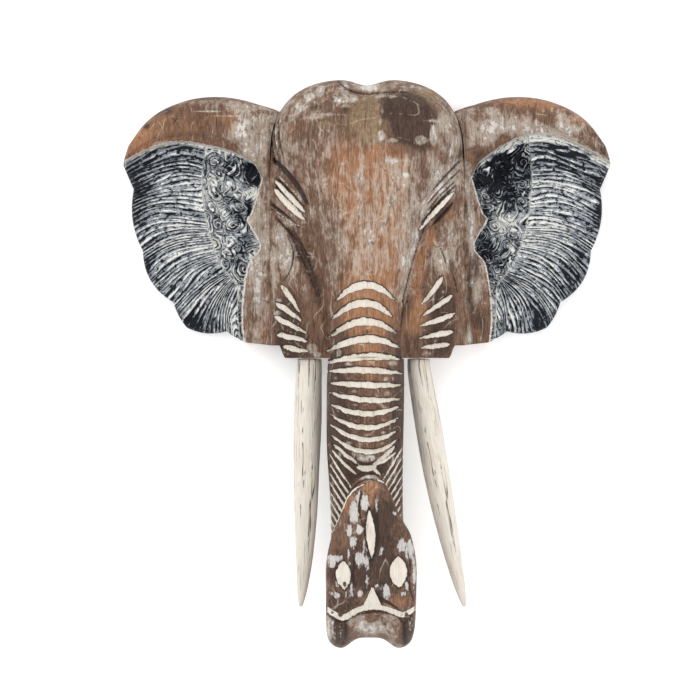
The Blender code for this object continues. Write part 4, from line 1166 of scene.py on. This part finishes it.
w.links.new(colour, result["Color"])
w.links.new(height, result["Height"])
w.links.new(plus(w, (fibre, 0.2), (thick, 0.2), (1.0, 0.45)), result["Roughness"])
print("washed wood", len(w.nodes), "nodes")

# %% [markdown]
# Cream paint fills the slots and covers the tusks. It is thick and even, stained a little, and its
# cracks are thin lines where a noise drawn out along the piece passes its middle value.

# %% Shared finish: cream paint
cream_paint, given, result = group(
    "cream paint",
    (("Place", VECTOR), ("Cracks", VALUE)),
    (("Color", COLOUR), ("Height", VALUE)),
)
c = cream_paint
spot = given["Place"]
grain = noise(c, spot, (700, 60, 500), 3, 0.6)
stain = noise(c, spot, (130, 30, 100), 3, 0.6, (5, 1, 2))
crack = noise(c, spot, (170, 7, 140), 2, 0.5, (1, 8, 3))
level = maths(c, "ABSOLUTE", maths(c, "SUBTRACT", crack, 0.5))
line = times(c, inverse(c, between(c, level, 0.008, 0.045)), between(c, stain, 0.48, 0.66))
line = times(c, line, given["Cracks"])
colour = mix(c, grain, tone(206, 197, 184), tone(228, 221, 209))
colour = over(c, colour, between(c, stain, 0.6, 1.0), 0.4, tone(198, 182, 158))
colour = over(c, colour, line, 0.9, tone(66, 55, 50))
c.links.new(colour, result["Color"])
c.links.new(plus(c, (grain, 0.4), (line, -1.0)), result["Height"])


# %% [markdown]
# The head's finish lays its colours in order: washed wood, then dark outlines, painted shade in the
# cuts and a painted shadow band above each slot, then cream brushed along the slots. Each edge is
# the stored distance plus a little noise.

# %% Finish of the head
def finish(name, roughness, specular):
    made = bpy.data.materials.new(name)
    made.use_nodes = True
    tree = made.node_tree
    shader = tree.nodes["Principled BSDF"]
    shader.inputs["Roughness"].default_value = roughness
    shader.inputs["Specular IOR Level"].default_value = specular
    place_of = add(tree, "ShaderNodeTexCoord").outputs["Object"]
    return made, tree, shader, place_of


def use(tree, node_group, wires):
    return add(tree, "ShaderNodeGroup", wires, node_tree=node_group).outputs


def bump(tree, shader, height, depth):
    made = add(tree, "ShaderNodeBump", {"Strength": 1.0, "Distance": depth, "Height": height})
    tree.links.new(made.outputs[0], shader.inputs["Normal"])


def coat(piece, material):
    piece.data.materials.clear()
    piece.data.materials.append(material)


def worn_wood(t, spot):
    """The shared wood, fed by the piece's own stored patches."""
    stored = {name.capitalize(): attribute(t, name) for name in ("wash", "soot", "warm", "ochre", "dab")}
    return use(t, washed_wood, {"Place": spot, **stored})


head_wood, t, shader, spot = finish("whitewashed brown wood", 0.6, 0.12)
wood = worn_wood(t, spot)
paint = use(t, cream_paint, {"Place": spot, "Cracks": 0.4})
wobble = noise(t, spot, (260, 260, 260), 4, 0.65)
ink = plus(t, (attribute(t, "ink"), 1.0), (wobble, 1.0), (1.0, -0.5))
dark = between(t, ink, -0.5, 0.4)
cream = plus(t, (attribute(t, "cream"), 1.0), (wobble, 0.9), (1.0, -0.45))
# Dark outlines, and painted shade in the cuts and above each slot.
colour = over(t, wood["Color"], dark, 0.85, tone(48, 37, 35))
colour = mix(t, between(t, cream, -0.1, 0.3), colour, paint["Color"])
t.links.new(colour, shader.inputs["Base Color"])
t.links.new(wood["Roughness"], shader.inputs["Roughness"])
bump(t, shader, plus(t, (wood["Height"], 1.0), (paint["Height"], 0.2)), 0.0008)
coat(head, head_wood)

# %% [markdown]
# The ears' panels were painted black-blue and then brushed with white almost dry, which catches only
# on what stands proud. So white is put where the stored height is high, broken by noise that is
# drawn out along each rib and curl. Rim and neck share the washed wood.

# %% Finish of the ears
def ear_finish(name, curl_shift):
    """The material of one ear; curl_shift makes its field of curls paler."""
    made, t, shader, spot = finish(name, 0.6, 0.12)
    wood = worn_wood(t, spot)
    across, curl = attribute(t, "strand_across"), attribute(t, "curl")
    strand = add(t, "ShaderNodeCombineXYZ", {0: across, 1: attribute(t, "strand_along")}).outputs[0]
    thread = noise(t, strand, (0.42, 0.05, 1), 3, 0.6)
    fine = noise(t, strand, (1.1, 0.09, 1), 2, 0.6, (3, 9, 2))
    fleck = noise(t, strand, (0.30, 0.12, 1), 3, 0.6, (7, 3, 1))
    speck = noise(t, spot, (330, 330, 330), 4, 0.7)
    dash = between(t, noise(t, strand, (0.55, 0.2, 1), 2, 0.6, (2, 5, 7)), 0.66, 0.78)
    wave = plus(t, (across, 1.0), (thread, 0.9), (speck, 0.5))
    wave = maths(t, "PINGPONG", wave, STRAND_PITCH / 2)
    gap = between(t, wave, STRAND_PITCH * 0.3, STRAND_PITCH * 0.46)
    cloud = noise(t, spot, (75, 75, 75), 3, 0.6, (2, 2, 5))
    mass = times(t, plus(t, (cloud, 1.0), (1.0, -0.5)), curl)
    # The border number takes white away at the lobed edge, and under the rim as painted shadow.
    amount = plus(t, (attribute(t, "height"), 0.75), (thread, 0.7), (fine, 0.5), (fleck, 0.4),
                  (speck, 0.5), (1.0, -0.06), (gap, -0.5), (dash, -0.55),
                  (attribute(t, "border"), -0.45), (attribute(t, "pale"), 1.0),
                  (curl, curl_shift), (mass, 0.9))
    brushed = between(t, amount, 0.8, 1.16)
    bright = between(t, amount, 1.3, 1.6)
    colour = mix(t, brushed, tone(23, 25, 31), tone(140, 145, 151))
    colour = mix(t, bright, colour, tone(222, 221, 215))
    inside = plus(t, (attribute(t, "panel"), 1.0), (speck, 1.6), (1.0, -0.8))
    lip = times(t, between(t, inside, -2.0, -1.2), between(t, speck, 0.15, 0.4))
    rest = over(t, wood["Color"], lip, 0.8, tone(214, 211, 205))
    colour = mix(t, between(t, inside, -0.3, 0.3), rest, colour)
    t.links.new(colour, shader.inputs["Base Color"])
    t.links.new(wood["Roughness"], shader.inputs["Roughness"])
    bump(t, shader, plus(t, (wood["Height"], 0.4), (thread, 0.35), (speck, 0.15)), 0.0009)
    return made


for piece, curl_shift in ((ear_left, 0.31), (ear_right, 0.08)):
    coat(piece, ear_finish("brushed ear paint " + piece.name.split("_")[1], curl_shift))

# %% Finish of the tusks
tusk_paint, t, shader, spot = finish("cream tusk paint", 0.5, 0.4)
along_it = add(t, "ShaderNodeCombineXYZ", {0: attribute(t, "round"), 1: attribute(t, "reach")}).outputs[0]
along_it = add(t, "ShaderNodeMapping", {0: along_it, 3: (0.001, 0.001, 0.001)}).outputs[0]
paint = use(t, cream_paint, {"Place": along_it, "Cracks": 1.0})
t.links.new(paint["Color"], shader.inputs["Base Color"])
bump(t, shader, paint["Height"], 0.0006)
coat(tusk_left, tusk_paint)
coat(tusk_right, tusk_paint)

# %% [markdown]
# Each new piece stands for its solid and rides on the mask's one body.

# %% Tie the pieces to the solids
for piece, node, slot_name in ((head, "head", "head_wood"), (ear_left, "ear_left", "ear_wood"),
                               (ear_right, "ear_right", "ear_wood"), (tusk_left, "tusk_left", "tusk_wood"),
                               (tusk_right, "tusk_right", "tusk_wood")):
    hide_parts(node)
    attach(piece, "root")

# %% [markdown]
# The photograph has a white ground and soft light from the front. The mask lies on a pale floor
# under one wide lamp above and to the left, and an even pale sky fills the shadows.

# %% Floor and light
bpy.ops.object.select_all(action="DESELECT")
bpy.ops.mesh.primitive_plane_add(size=6, location=(0, 0, -0.0005))
floor = bpy.context.active_object
floor.name = "floor"
paper, t, shader, spot = finish("pale floor", 0.9, 0.1)
shade = noise(t, spot, (2, 2, 2), 2, 0.5)
t.links.new(mix(t, shade, tone(247, 247, 247), tone(252, 252, 252)), shader.inputs["Base Color"])
floor.data.materials.append(paper)
shader.inputs["Emission Color"].default_value = (1, 1, 1, 1)
shader.inputs["Emission Strength"].default_value = 0.25


def lamp(name, place_of, size, power):
    """A square lamp that shines at the origin."""
    light = bpy.data.lights.new(name, "AREA")
    light.size = size
    light.energy = power
    made = bpy.data.objects.new(name, light)
    made.location = place_of
    bpy.context.scene.collection.objects.link(made)
    made.rotation_euler = made.location.to_track_quat("Z", "Y").to_euler()


lamp("wide lamp", (-0.9, 1.0, 2.2), 2.2, 26)
lamp("low lamp", (1.4, -0.6, 1.6), 1.2, 9)
world = bpy.data.worlds.new("studio")
bpy.context.scene.world = world
world.use_nodes = True
world.node_tree.nodes["Background"].inputs["Color"].default_value = (1, 1, 1, 1)
world.node_tree.nodes["Background"].inputs["Strength"].default_value = 0.93
bpy.context.scene.view_settings.view_transform = "Standard"
